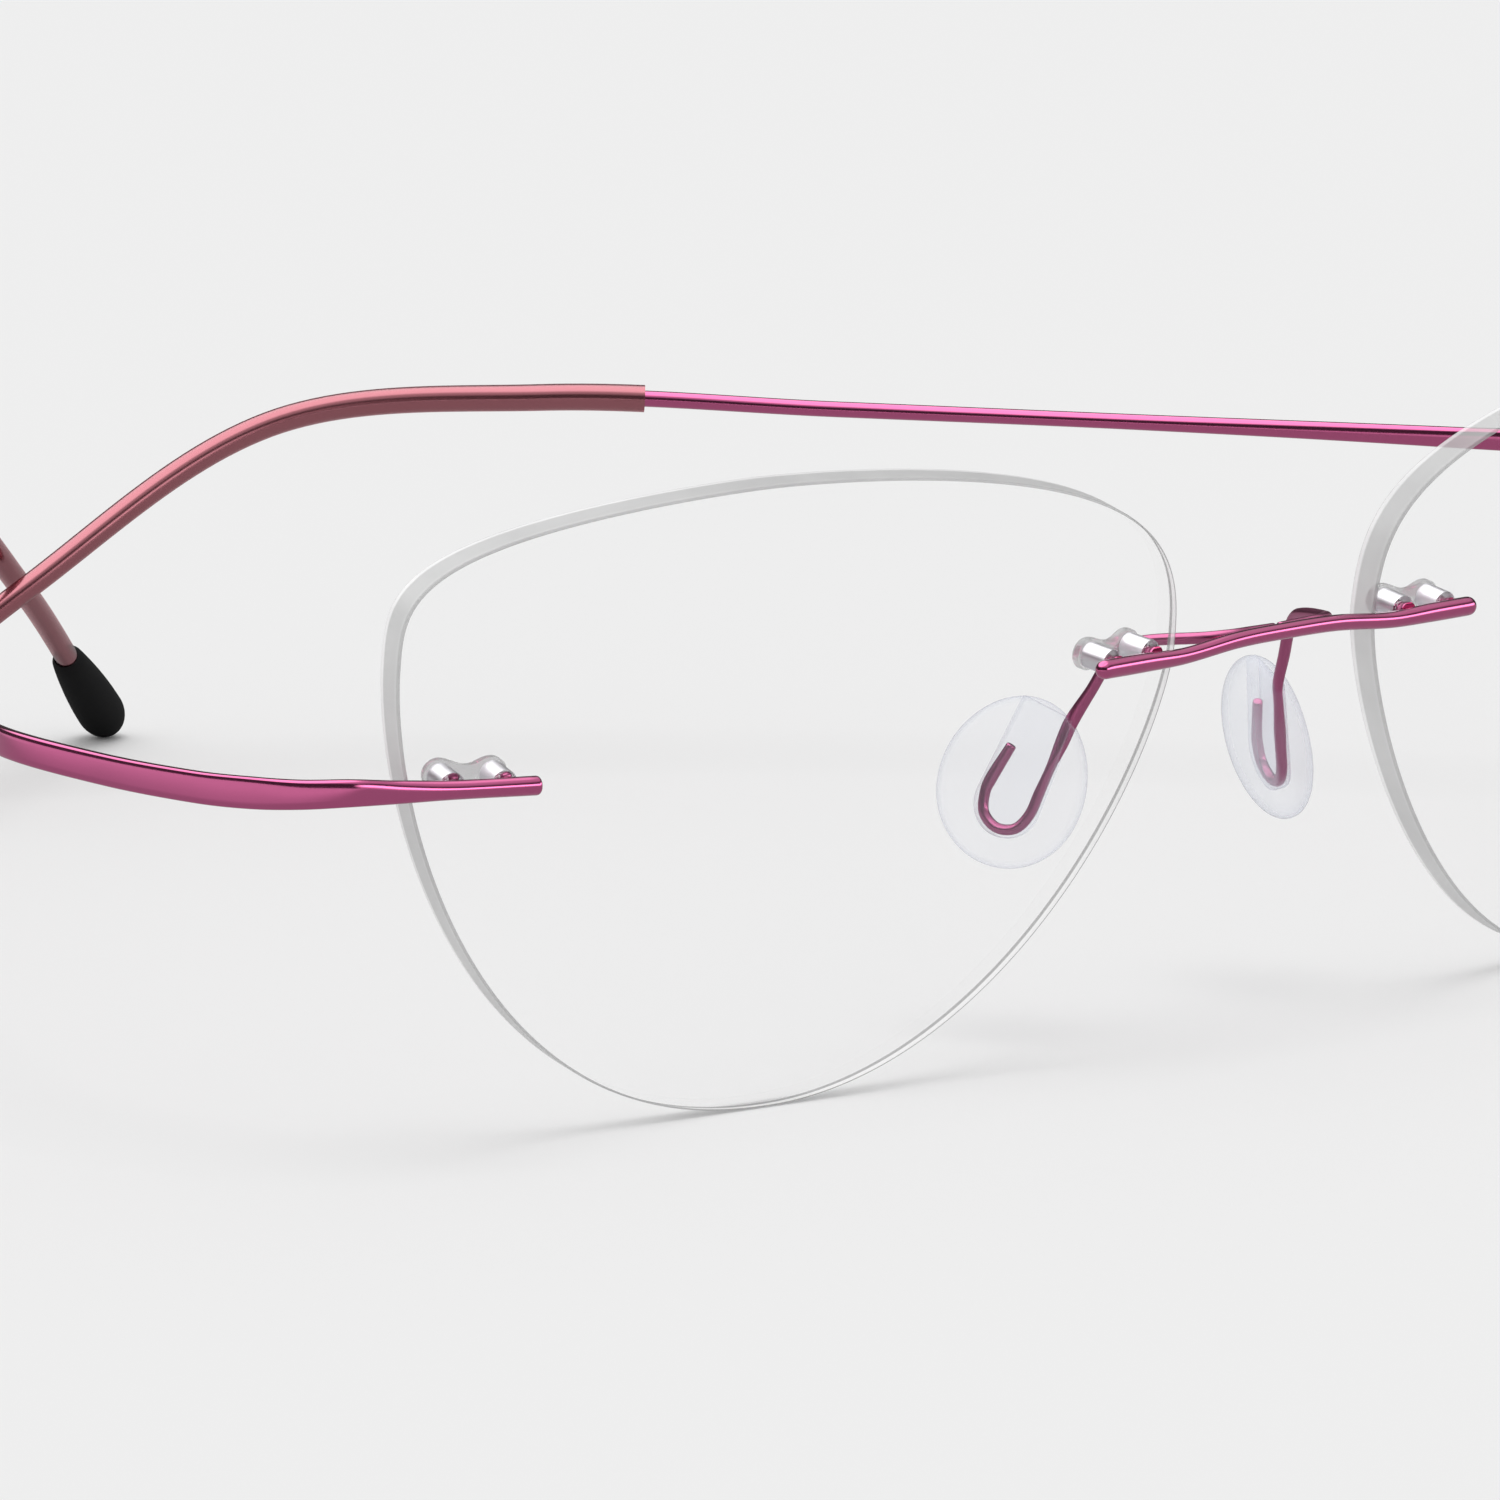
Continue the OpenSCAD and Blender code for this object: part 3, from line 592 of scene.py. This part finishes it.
def bush_solids():
    """Two bored plugs, and a body whose outline is a half circle of boss_r round each
    plug, joined by sides that draw in to the middle as a cosine. The body's height falls
    from the bosses to the web between them in the same way."""
    half = prong_spacing / 2
    bore = prong_r + fit_gap
    front, back = seat_gap + plug_set_in, lens_thick + seat_gap * 0.9
    profile = [(bore, front), (plug_r - plug_bevel, front), (plug_r, front + plug_bevel),
               (plug_r, back), (bore, back)]
    solids = [(turned_solid(profile, (s * half, 0))[0],
               rings_to_faces(len(profile), 40, closed=True)) for s in (-1, 1)]
    t = np.linspace(0, 1, 24, endpoint=False)
    bow, run = np.pi * (t - 0.5), half * np.cos(np.pi * t)
    line_x = np.concatenate([np.full(24, half), run, np.full(24, -half), -run])
    waist = 0.5 + 0.5 * np.cos(np.pi * (1 - np.abs(line_x) / half))
    width = boss_r * (bush_waist + (1 - bush_waist) * waist)
    rim_x = line_x + width * np.concatenate([np.cos(bow), 0 * t, -np.cos(bow), 0 * t])
    rim_z = width * np.concatenate([np.sin(bow), 1 + 0 * t, -np.sin(bow), -1 - 0 * t])
    low, high = lens_thick + seat_gap, bush_web + (boss_high - bush_web) * waist
    layers = [(share, np.full(96, low)) for share in (0.02, 0.6, 1)]
    layers += [(1 - boss_round * (1 - math.cos(a)) / boss_r,
                low + high - boss_round * (1 - math.sin(a)))
               for a in np.linspace(0, np.pi / 2, 6)]
    layers += [(share, low + high + crown * share) for share in (0.5, 0.25, 0.02)]
    rings = [np.stack([line_x + (rim_x - line_x) * share, y, rim_z * share], 1)
             for share, y in layers]
    return solids + [(np.concatenate(rings), rings_to_faces(len(rings), 96))]


bush_points, bush_faces = gather(bush_solids())
for label, side in sides:
    for joint, name in ((nose_joint, "nose_bush_"), (temple_joint, "temple_bush_")):
        bush = add_piece(
            "clear_" + name + label, to_frame(from_joint(joint, bush_points)), bush_faces,
            [plastic], side, smooth=50)
        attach(bush, "front")
        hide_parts(name + label)

# ---- Bridge ------------------------------
# One rod of beta titanium, 1.1 mm thick and drawn down to 0.94 mm over the nose, arches a
# little and ends in domes. Two prongs on each end pass through the lens into a bush.
rod_r, waist_r = 0.55 * mm, 0.47 * mm
rod_proud = rod_r + seat_gap
bridge_past_joint, bridge_arch = 2.65 * mm, 0.42 * mm

titanium = bpy.data.materials.new("magenta_titanium")
add, link, mix, finish = node_tree(titanium)
coords = add("TexCoord")
drawn = add("TexNoise", Scale=2500, Detail=2)
rough = add("MapRange", To_Min=0.1, To_Max=0.17)
metal = add("BsdfPrincipled", Base_Color=(0.62, 0.112, 0.29, 1), Metallic=1.0,
            Coat_Weight=0.8, Coat_Roughness=0.1)
link(coords.outputs["Object"], drawn.inputs["Vector"])
link(drawn.outputs[0], rough.inputs["Value"])
link(rough.outputs["Result"], metal.inputs["Roughness"])
finish(metal)


def hermite(knots, step):
    """Points along a smooth curve through knots, each stretch a cubic whose end slopes are
    the chord between the knots on either side over the distance travelled."""
    knots = np.asarray(knots, float)
    gaps = np.linalg.norm(np.diff(knots[:, :3], axis=0), axis=1)
    before = np.concatenate([[0], gaps])
    after = np.concatenate([gaps, [0]])
    last = len(knots) - 1
    i = np.arange(len(knots))
    slopes = (knots[np.minimum(i + 1, last)] - knots[np.maximum(i - 1, 0)]) / (
        before + after)[:, None]
    runs = []
    for k in range(last):
        t = np.arange(math.ceil(gaps[k] / step))[:, None] / math.ceil(gaps[k] / step)
        leave, arrive = slopes[k] * gaps[k], slopes[k + 1] * gaps[k]
        runs.append(knots[k] * (2 * t**3 - 3 * t**2 + 1) + leave * (t**3 - 2 * t**2 + t)
                    + knots[k + 1] * (3 * t**2 - 2 * t**3) + arrive * (t**3 - t**2))
    return np.concatenate(runs + [knots[-1:]])


def swept(line, up=(0, 0, 1), points=20):
    """A closed solid along a line of (x, y, z, tall, thick) points: each ring is an ellipse
    square to the line, thick / 2 cos(a) sideways and tall / 2 sin(a) upwards."""
    line = np.asarray(line, float)
    ahead = np.concatenate([line[1:, :3], line[-1:, :3]])
    behind = np.concatenate([line[:1, :3], line[:-1, :3]])
    way = unit(ahead - behind)
    side = unit(np.cross(way, up))
    rise = np.cross(side, way)
    a = round_angles(points)[None, :, None]
    rings = line[:, None, :3] + (
        side[:, None] * line[:, None, 4:5] / 2 * np.cos(a)
        + rise[:, None] * line[:, None, 3:4] / 2 * np.sin(a))
    return rings.reshape(-1, 3), rings_to_faces(len(line), points)


def rounded(line, first=0.0, last=0.0, steps=6):
    """A swept line with its first or last end rounded over: beyond the end by r sin(a),
    and r (1 - cos(a)) smaller all round, for angles a up to nearly a right angle."""
    line = np.asarray(line, float)
    a = np.linspace(0, np.pi / 2, steps + 1)[1:, None] * 0.98
    parts = [line]
    for radius, end, beside in ((first, line[0], line[1]), (last, line[-1], line[-2])):
        way = unit(end[:3] - beside[:3])
        cap = np.concatenate([
            end[:3] + way * radius * np.sin(a), end[3:] - 2 * radius * (1 - np.cos(a))], 1)
        parts.append(cap)
    parts = [parts[1][::-1] if first else line[:0], line, parts[2] if last else line[:0]]
    return np.concatenate(parts)


def prong_solids(joint):
    """Two prongs, turned about their own lines, that flare where they leave the rod."""
    end = lens_thick + boss_high - prong_short
    tip = 0.1 * mm
    profile = [(prong_r * 1.35, -rod_proud * 0.8), (prong_r * 1.3, -0.24 * mm),
               (prong_r * 1.1, -0.1 * mm), (prong_r, 0), (prong_r, end - tip),
               (prong_r - tip * 0.3, end - tip * 0.3), (prong_r - tip, end)]
    solids = [turned_solid(profile, (s * prong_spacing / 2, 0), 24) for s in (-1, 1)]
    return [(to_frame(from_joint(joint, p)), g) for p, g in solids]


def on_front(out, up, proud):
    """The frame place over one point of the lens front, proud of it."""
    y = lens_radius - math.sqrt((lens_radius + proud) ** 2 - out**2 - up**2)
    return to_frame([[out, y, up]])[0]


bridge_end = on_front(nose_joint[0] + bridge_past_joint, nose_joint[1], rod_proud)
bridge_rows = ((0, 1, 1), (0.27, 0.85, 1), (0.57, -0.05, 1), (0.8, 0, 0), (1, 0, 0))
# Each row is a share of the way out, one of the arch, and one of the narrowing
bridge_knots = []
for side, rows in ((-1, bridge_rows[::-1]), (1, bridge_rows[1:])):
    for share, rise, narrow in rows:
        d = 2 * (rod_r + (waist_r - rod_r) * narrow)
        bridge_knots.append((side * share * bridge_end[0], bridge_end[1],
                             bridge_end[2] + rise * bridge_arch, d, d))
bridge_line = rounded(hermite(bridge_knots, 0.4 * mm), rod_r, rod_r)
nose_prongs = prong_solids(nose_joint)
mirrored_prongs = [(p * (-1, 1, 1), [f[:, ::-1] for f in g]) for p, g in nose_prongs]
bridge_points, bridge_faces = gather(
    [swept(bridge_line, points=28)] + nose_prongs + mirrored_prongs)
bridge = add_piece("titanium_bridge", bridge_points, bridge_faces, [titanium], smooth=55)
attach(bridge, "front")
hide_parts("bridge")

# ---- Pad arms ----------------------------
# Each arm is one titanium wire, 0.68 mm thick. It is welded behind the bridge, runs back
# past the lens, bends down to the pad and ends in a flattened hook inside it.
arm_d, bend_leg = 0.68 * mm, 0.9 * mm
pad_length, pad_width, pad_thick = 10 * mm, 9.1 * mm, 3 * mm
pad_middle = np.array([10.15 * mm, lens_place[1] + 9.35 * mm, lens_place[2] - 3.25 * mm])
pad_along = unit(np.array([0.315, 0.254, -0.914]))
pad_across = unit(np.cross(pad_along, (-0.886, 0.363, -0.29)))
pad_face = np.cross(pad_across, pad_along)
loop_shift, loop_leg = -0.2 * mm, 1.55 * mm
loop_centre = 0.28 * pad_length - loop_leg
loop_in, loop_out = -0.455 * pad_length, -0.174 * pad_length
weld_from, weld_to, weld_rise = 0.3 * mm, 4.4 * mm, 0.02
weld_off = waist_r + arm_d / 2 + seat_gap
bend_from_mouth = np.array([-1.39, -2.59, 4.7]) * mm


def in_pad(along, across):
    """The frame place of a spot in the left pad, in the plane of the wire's hook."""
    return pad_middle + pad_along * along + pad_across * across


def weld_point(x):
    """A spot on the welded stretch of the left arm, straight behind the bridge."""
    return np.array([x, bridge_end[1] + weld_off,
                     bridge_end[2] + bridge_arch + weld_rise * x])


satin = bpy.data.materials.new("satin_titanium")
add, link, mix, finish = node_tree(satin)
metal = add("BsdfPrincipled", Base_Color=(0.52, 0.14, 0.28, 1), Metallic=1.0,
            Roughness=0.28)
finish(metal)

pad_mouth = in_pad(loop_in, loop_shift - loop_leg)
arm_bend = pad_mouth + bend_from_mouth
way_in = unit(arm_bend - weld_point(weld_to))
way_out = unit(pad_mouth - arm_bend)
turn_angles = np.radians([-90, -45, 0, 45, 90])
# Each knot's place, and its width in the pad's plane and across it, in millimetres
arm_rows = [(place, 0.68, 0.68) for place in (
    weld_point(weld_from), weld_point(weld_to / 2), weld_point(weld_to - bend_leg),
    weld_point(weld_to) + way_in * bend_leg, arm_bend - way_in * bend_leg,
    arm_bend + way_out * bend_leg, arm_bend * 0.4 + pad_mouth * 0.6)
] + [
    (pad_mouth, 0.88, 0.5),
    (in_pad(loop_in * 0.72, loop_shift - loop_leg), 0.84, 0.5),
    (in_pad(loop_in * 0.36, loop_shift - loop_leg), 0.52, 0.72),
    (in_pad(0, loop_shift - loop_leg), 0.62, 0.66),
] + [
    (in_pad(loop_centre + loop_leg * c, loop_shift + loop_leg * s), 0.62, 0.66)
    for c, s in zip(np.cos(turn_angles), np.sin(turn_angles))
] + [
    (in_pad(loop_centre - 0.8 * mm, loop_shift + loop_leg), 0.72, 0.6),
    (in_pad(loop_out, loop_shift + loop_leg * 0.8), 0.6, 0.6),
]
arm_knots = [(*p, thick * mm, wide * mm) for p, wide, thick in arm_rows]
arm_line = rounded(hermite(arm_knots, 0.25 * mm), 0.12 * mm, 0.1 * mm)
arm_points, arm_faces = gather([swept(arm_line, pad_face, 20)])
for label, side in sides:
    arm = add_piece("titanium_pad_arm_" + label, arm_points, arm_faces, [satin], side,
                    smooth=55)
    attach(arm, "front")
    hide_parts("pad_arm_" + label)

# ---- Nose pads ---------------------------
# Two clear silicone cushions, 10 by 9.1 mm, with flat faces and full round edges. Each
# was slipped over the hook of its arm, which shows inside the pad's pocket.
pad_roundness = 0.55
pocket_room = 0.24 * mm
silicone = bpy.data.materials.new("clear_silicone")
add, link, mix, finish = node_tree(silicone)
facing = add("LayerWeight", Blend=0.35)
edges = tone_ramp(add, ((0.2, 0.04), (0.97, 0.66)))
see = add("BsdfTransparent", Color=(0.99, 0.992, 0.998, 1))
body = add("BsdfPrincipled", Base_Color=(0.84, 0.87, 0.96, 1), Roughness=0.08,
           IOR=1.42)
link(facing.outputs["Facing"], edges.inputs[0])
finish(mix(edges.outputs[0], see, body))


def cushion(points=72, layers=14):
    """A pad's flat round-edged solid in its own directions. Layer a lies at half the
    thickness times sin(a), and is an oval shrunk by cos(a) to a power; the oval is wider
    at its lower end by a share of the cosine round it."""
    a = np.radians(np.linspace(-89.5, 89.5, 2 * layers + 1))[:, None]
    t = round_angles(points)[None]
    w = np.cos(a) ** pad_roundness
    across = w * pad_width / 2 * np.sin(t) * (1 + 0.06 * np.cos(t))
    along = w * pad_length / 2 * np.cos(t)
    face = pad_thick / 2 * np.sin(a) + 0 * t
    spots = np.stack([across, along, face], -1).reshape(-1, 3)
    return spots, rings_to_faces(2 * layers + 1, points)


def pocket(points=40):
    """The pocket round the hook: a slot as wide as the hook that ends in a half circle,
    runs up to the pad's top edge and is a little thicker than the wire."""
    thick = arm_d + pocket_room
    half = loop_leg + thick / 2
    t = np.linspace(-np.pi / 2, np.pi / 2, points // 2)
    x = np.concatenate([half * np.sin(t), [half * 0.86, -half * 0.86]])
    y = np.concatenate([loop_centre + half * np.cos(t), [-0.47 * pad_length] * 2])
    layers = [(0.85, -0.5), (0.97, -0.42), (1, -0.25), (1, 0.25), (0.97, 0.42), (0.85, 0.5)]
    mid = np.array([0, y.mean()])
    rings = [np.stack([x * share, mid[1] + (y - mid[1]) * share, 0 * x + level * thick], 1)
             for share, level in layers]
    spots = np.concatenate(rings) + (loop_shift, 0, 0)
    groups = rings_to_faces(len(layers), len(x))
    return spots, [g[:, ::-1] for g in groups]


pad_spots, pad_faces = gather([cushion(), pocket()])
pad_axes = np.stack([pad_across, pad_along, pad_face])
for label, side in sides:
    pad = add_piece("silicone_nose_pad_" + label, pad_spots @ pad_axes + pad_middle,
                    pad_faces, [silicone], side, smooth=50)
    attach(pad, "front")
    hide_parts("nose_pad_" + label)

# ---- Temples -----------------------------
# Each temple is one length of beta titanium: a round rod on the lens, a flat blade that
# turns back and flexes in place of a hinge, and a wire drawn thin inside the sleeve.
rod_end_round = 0.25 * mm
temple_past_joint = 3.1 * mm
blade_tall, blade_thick = 1.8 * mm, 0.62 * mm
rod_d, wire_d, core_d = 1.1 * mm, 0.96 * mm, 0.6 * mm
temple_reach, ear_drop = 106.6 * mm, 7.3 * mm
pass_room = 4.5 * mm
tip_length, tip_d = 6.3 * mm, 2.9 * mm
tip_nose = 0.38 * tip_length
tip_to_wide = tip_length - tip_nose
wire_in_tip, sleeve_in_tip = 0.38 * tip_length, 0.45 * tip_length
edge_flat = 0.33
ear_in, ear_back, mouth_in = 61.6 * mm, 0.939, 71.9 * mm
# Knots past the lens's edge: millimetres out, back (or its share of the reach) and up,
# and how far the strip is flattened there
front_rows = ((2.5, 0.9, 0.15, 0.64), (4.2, 3, 0, 0.8), (5.1, 6.1, -0.2, 1),
              (5.8, 9.9, -0.3, 1))
back_rows = ((6.4, 0.1585, -0.2, 0.95), (6.3, 0.238, 0.2, 0.85), (-0.7, 0.378, 0.1, 0.35),
             (-10.7, 0.525, 0.2, 0), (-22, 0.662, 0.5, 0), (-34.3, 0.782, 1, 0),
             (-47.7, 0.876, -0.3, 0))
# How each ear end makes room for the other where they cross, in shares of pass_room
bends = {
    "left": ((-0.15, -0.18, 0.06), (-0.31, -0.38, 0.1), (-0.51, -0.58, 0.24),
             (-0.51, -1, 0)),
    "right": ((-0.1, 0.11, -0.03), (-0.28, 0.24, -0.02), (-0.27, 0.24, 0.01),
              (-0.05, 0, 0)),
}
blade_start, blade_end, sleeve_knot, mouth_knot = 4, 7, 11, 15
lens_edge = on_front(half_w, temple_joint[1], rod_proud)


def temple_knots(label):
    """The knots (x, y, z, tall, thick) of one temple, drawn for the wearer's left. The
    first rows are distances from the rod at the lens's edge; farther back the second
    number is a share of the reach; the last two stand on the tip that rests on z = 0."""
    bend = np.array(bends[label]) * pass_room
    knots = [[*on_front(temple_joint[0] - temple_past_joint, temple_joint[1], rod_proud),
              rod_d, rod_d],
             [*on_front(half_w - temple_joint_in * 2 / 3, temple_joint[1], rod_proud),
              rod_d, rod_d]]
    for out, back, up, flat, d in [(0, 0, 0, edge_flat, rod_d)] + [
            (*row, rod_d) for row in front_rows]:
        knots.append([*(lens_edge + np.array([out, back, up]) * mm),
                      d + (blade_tall - d) * flat, d + (blade_thick - d) * flat])
    for i, (out, back, up, flat) in enumerate(back_rows):
        place = lens_edge + np.array([out * mm, back * temple_reach, up * mm])
        k = i - len(back_rows) + 2
        if k >= 0:
            place = place + bend[k]
        tall, thick = ((core_d, core_d) if k > 0 else (
            wire_d + (blade_tall - wire_d) * flat, wire_d + (blade_thick - wire_d) * flat))
        knots.append([*place, tall, thick])
    ear = lens_edge + np.array([-ear_in, ear_back * temple_reach, 0]) + bend[2]
    mouth = lens_edge + np.array([-mouth_in, temple_reach, 0]) + bend[3]
    fall = ear_drop + bend[2][2]
    angle = math.atan2(fall, math.hypot(*(mouth - ear)[:2]))
    up = tip_to_wide * math.sin(angle) + math.hypot(
        tip_nose * math.sin(angle), tip_d / 2 * math.cos(angle))
    knots.append([ear[0], ear[1], up + fall, core_d, core_d])
    knots.append([mouth[0], mouth[1], up, core_d, core_d])
    return np.array(knots)


def past_mouth(knots, depth):
    """The place inside the tip, a depth beyond its mouth on the line the wire ends with."""
    way = unit(knots[mouth_knot, :3] - knots[mouth_knot - 1, :3])
    return knots[mouth_knot, :3] + way * depth


def flat_swept(line, points=32):
    """A closed solid along a line as swept() makes, but where the line is flattened its
    rings turn from ovals to rounded strips: cosine and sine raised to a power below 1."""
    spots, groups = swept(line, points=points)
    line = np.asarray(line)
    flat = np.clip((line[:, 3] - line[:, 4]) / (line[:, 3] + line[:, 4]) / 0.49, 0, 1)
    a = round_angles(points)[None]
    power = (1 - 0.6 * flat)[:, None]
    rings = spots.reshape(len(line), points, 3)
    side = (rings[:, 0] - line[:, :3])[:, None]
    rise = (rings[:, points // 4] - line[:, :3])[:, None]
    c = np.sign(np.cos(a)) * np.abs(np.cos(a)) ** power
    s = np.sign(np.sin(a)) * np.abs(np.sin(a)) ** power
    rings = line[:, None, :3] + side * c[..., None] + rise * s[..., None]
    return rings.reshape(-1, 3), groups


temple_prongs = prong_solids(temple_joint)
for label, side in sides:
    knots = temple_knots(label)
    line = hermite(knots, 0.6 * mm)
    end = np.concatenate([past_mouth(knots, wire_in_tip), [core_d, core_d]])
    line = rounded(np.concatenate([line, end[None]]), rod_end_round)
    spots, faces = gather([flat_swept(line)] + temple_prongs)
    temple = add_piece("titanium_temple_" + label, spots, faces, [titanium], side,
                       smooth=55)
    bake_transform(temple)
    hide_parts("end_piece_" + label, "flex_blade_" + label, "temple_wire_" + label)

# ---- Weld beads --------------------------
# Each prong is laser-welded to its rod, and the weld leaves a small bead on the rod's
# back. Those of the wearer's right are placed by the photograph and the left's mirror them.
bead_size = np.array([0.36, 0.3, 0.26]) * mm
rods = bpy.data.objects["titanium_temple_right"].data
carrier = BVHTree.FromPolygons(
    [v.co for v in rods.vertices], [p.vertices for p in rods.polygons])
# A ball: rings at angles t from its lowest point, each sin(t) wide and -cos(t) high
t = np.linspace(0.04, np.pi - 0.04, 12)[:, None]
a = round_angles(20)[None]
ball = np.stack([np.sin(t) * np.cos(a), np.sin(t) * np.sin(a), -np.cos(t) + 0 * a], 2)
bead_points, bead_faces = gather([
    (on_surface(name, carrier) * (-1, 1, 1) + ball.reshape(-1, 3) * bead_size,
     rings_to_faces(12, 20)) for name in ("rod_weld_outer", "rod_weld_inner")])
for label, side in sides:
    bead = add_piece("weld_beads_" + label, bead_points, bead_faces, [satin], side,
                     smooth=80)
    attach(bead, "front")

# ---- Sleeves -----------------------------
# A translucent rose plastic sleeve is drawn over the back of each wire, and ends inside
# the tip. The wire gives it a metallic sheen, and light comes through at its sides.
sleeve_d, sleeve_back_d = 1.66 * mm, 1.4 * mm
sleeve_step, sleeve_back_steps = 0.8 * mm, 4
rose = bpy.data.materials.new("translucent_sleeve")
add, link, mix, finish = node_tree(rose)
see = add("BsdfTransparent", Color=(0.91, 0.60, 0.64, 1))
body = add("BsdfPrincipled", Base_Color=(0.42, 0.13, 0.16, 1), Metallic=0.92,
           Roughness=0.2, IOR=1.46, Coat_Weight=1, Coat_Roughness=0.12)
sides_on = add("LayerWeight", Blend=0.4)
thin = tone_ramp(add, ((0.25, 0.97), (0.95, 0.45)))
link(sides_on.outputs["Facing"], thin.inputs[0])
finish(mix(thin.outputs[0], see, body))


def tube(line, outer, inner, points=24):
    """A tube along a line: rings of the outer diameters going out and of the inner ones
    coming back, closed into one skin."""
    out_line = np.concatenate([line[:, :3], outer[:, None], outer[:, None]], 1)
    in_line = np.concatenate([line[:, :3], inner[:, None], inner[:, None]], 1)
    rings = np.concatenate([
        swept(out_line, points=points)[0].reshape(-1, points, 3),
        swept(in_line, points=points)[0].reshape(-1, points, 3)[::-1]])
    return rings.reshape(-1, 3), rings_to_faces(len(rings), points, closed=True)


for label, side in sides:
    knots = temple_knots(label)
    whole = hermite(knots[sleeve_knot - 1:], sleeve_step)
    first, second = (np.linalg.norm(whole[:, :3] - knots[k, :3], axis=1).argmin()
                     for k in (sleeve_knot, sleeve_knot + 1))
    line = whole[(first + second) // 2 + sleeve_back_steps:]
    end = np.concatenate([past_mouth(knots, sleeve_in_tip), [core_d, core_d]])
    line = np.concatenate([line, end[None]])
    share = np.linspace(0, 1, len(line))
    spots, faces = tube(line, sleeve_d + (sleeve_back_d - sleeve_d) * share,
                        line[:, 3] + 2 * fit_gap)
    sleeve = add_piece("rose_sleeve_" + label, spots, faces, [rose], side, smooth=50)
    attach(sleeve, "temple_" + label)
    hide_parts("sleeve_" + label)

# ---- Tips --------------------------------
# A soft black rubber egg, 10.5 mm long and 2.9 mm thick, is pushed over the end of each
# sleeve. Its mouth is a thin rim round the sleeve.
collar = 4.2 * mm
mouth_r = sleeve_back_d / 2 + fit_gap
lip, lip_round = 0.16 * mm, 0.05 * mm
rubber = bpy.data.materials.new("black_rubber")
add, link, mix, finish = node_tree(rubber)
coords = add("TexCoord")
pores = add("TexNoise", Scale=6000, Detail=2)
bump = add("Bump", Strength=0.2, Distance=0.00002)
body = add("BsdfPrincipled", Base_Color=(0.004, 0.004, 0.0045, 1), Roughness=0.8,
           Specular_IOR_Level=0.2)
link(coords.outputs["Object"], pores.inputs["Vector"])
link(pores.outputs[0], bump.inputs["Height"])
link(bump.outputs[0], body.inputs["Normal"])
finish(body)

for label, side in sides:
    knots = temple_knots(label)
    way = past_mouth(knots, 1) - knots[mouth_knot, :3]
    # The bore, the lip, a swell that goes by a power of the sine, and a round nose
    t = np.linspace(0, np.pi / 2, 16)
    swell = mouth_r + lip + (tip_d / 2 - mouth_r - lip) * np.sin(t) ** 0.8
    radii = np.concatenate([
        [mouth_r, mouth_r, mouth_r + lip_round], swell[1:], tip_d / 2 * np.cos(t[1:-1]),
        [0.02 * mm]])
    depths = np.concatenate([
        [sleeve_in_tip, 0.03 * mm - collar, -collar],
        (collar + tip_to_wide) * t[1:] / t[-1] - collar,
        tip_to_wide + tip_nose * np.sin(t[1:-1]), [tip_length]])
    rings = np.stack([knots[mouth_knot, :3] + way * d for d in depths])
    side_way = unit(np.cross(way, (0, 0, 1)))
    rise_way = np.cross(side_way, way)
    a = round_angles(40)[:, None]
    spots = (rings[:, None] + radii[:, None, None]
             * (side_way * np.cos(a) + rise_way * np.sin(a)))
    tip = add_piece("rubber_tip_" + label, spots.reshape(-1, 3),
                    rings_to_faces(len(rings), 40), [rubber], side, smooth=60)
    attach(tip, "temple_" + label)
    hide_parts("tip_" + label)

# ---- Records -----------------------------
# How far each named thing shows from its image point, by the finished vertices. An edge is
# the farthest vertex in its direction, of those that show close beside the point; None
# takes the nearest vertex.
beside_px = 5


def shown(name):
    """Where one piece's finished vertices show in the photograph."""
    piece = bpy.data.objects[name]
    spots = np.empty(len(piece.data.vertices) * 3, np.float32)
    piece.data.vertices.foreach_get("co", spots)
    return in_photo(spots.reshape(-1, 3))


measured = {
    "clear_lens_right": {"lens_outer_side": (-1, 0), "lens_top": (0, -1),
                         "lens_nose_side": (1, 0), "lens_bottom": (0, 1)},
    "clear_lens_left": {"far_lens_nose_side": (-1, 0)},
    "titanium_temple_right": {"rod_end": None},
    "weld_beads_right": {"rod_weld_outer": None, "rod_weld_inner": None},
    "titanium_bridge": {"bridge_near_end": (-1, 0), "bridge_far_end": (1, 0)},
    "silicone_nose_pad_right": {"near_pad_left": (-1, 0), "near_pad_bottom": (0, 1)},
    "silicone_nose_pad_left": {"far_pad_bottom": (0, 1), "far_pad_right": (1, 0)},
    "titanium_pad_arm_right": {"loop_bottom": (0, 1)},
    "rose_sleeve_left": {"sleeve_front": (1, 0), "sleeve_top": (0, -1)},
    "rubber_tip_right": {"tip_bottom": (0, 1)},
}
for piece, edges in measured.items():
    for name, way in edges.items():
        away = shown(piece) - image_points[name]
        if way is None:
            miss = away[(away**2).sum(1).argmin()]
        else:
            beside = np.abs(away @ (way[1], way[0])) < beside_px
            miss = (away[beside] @ way).max() * np.array(way)
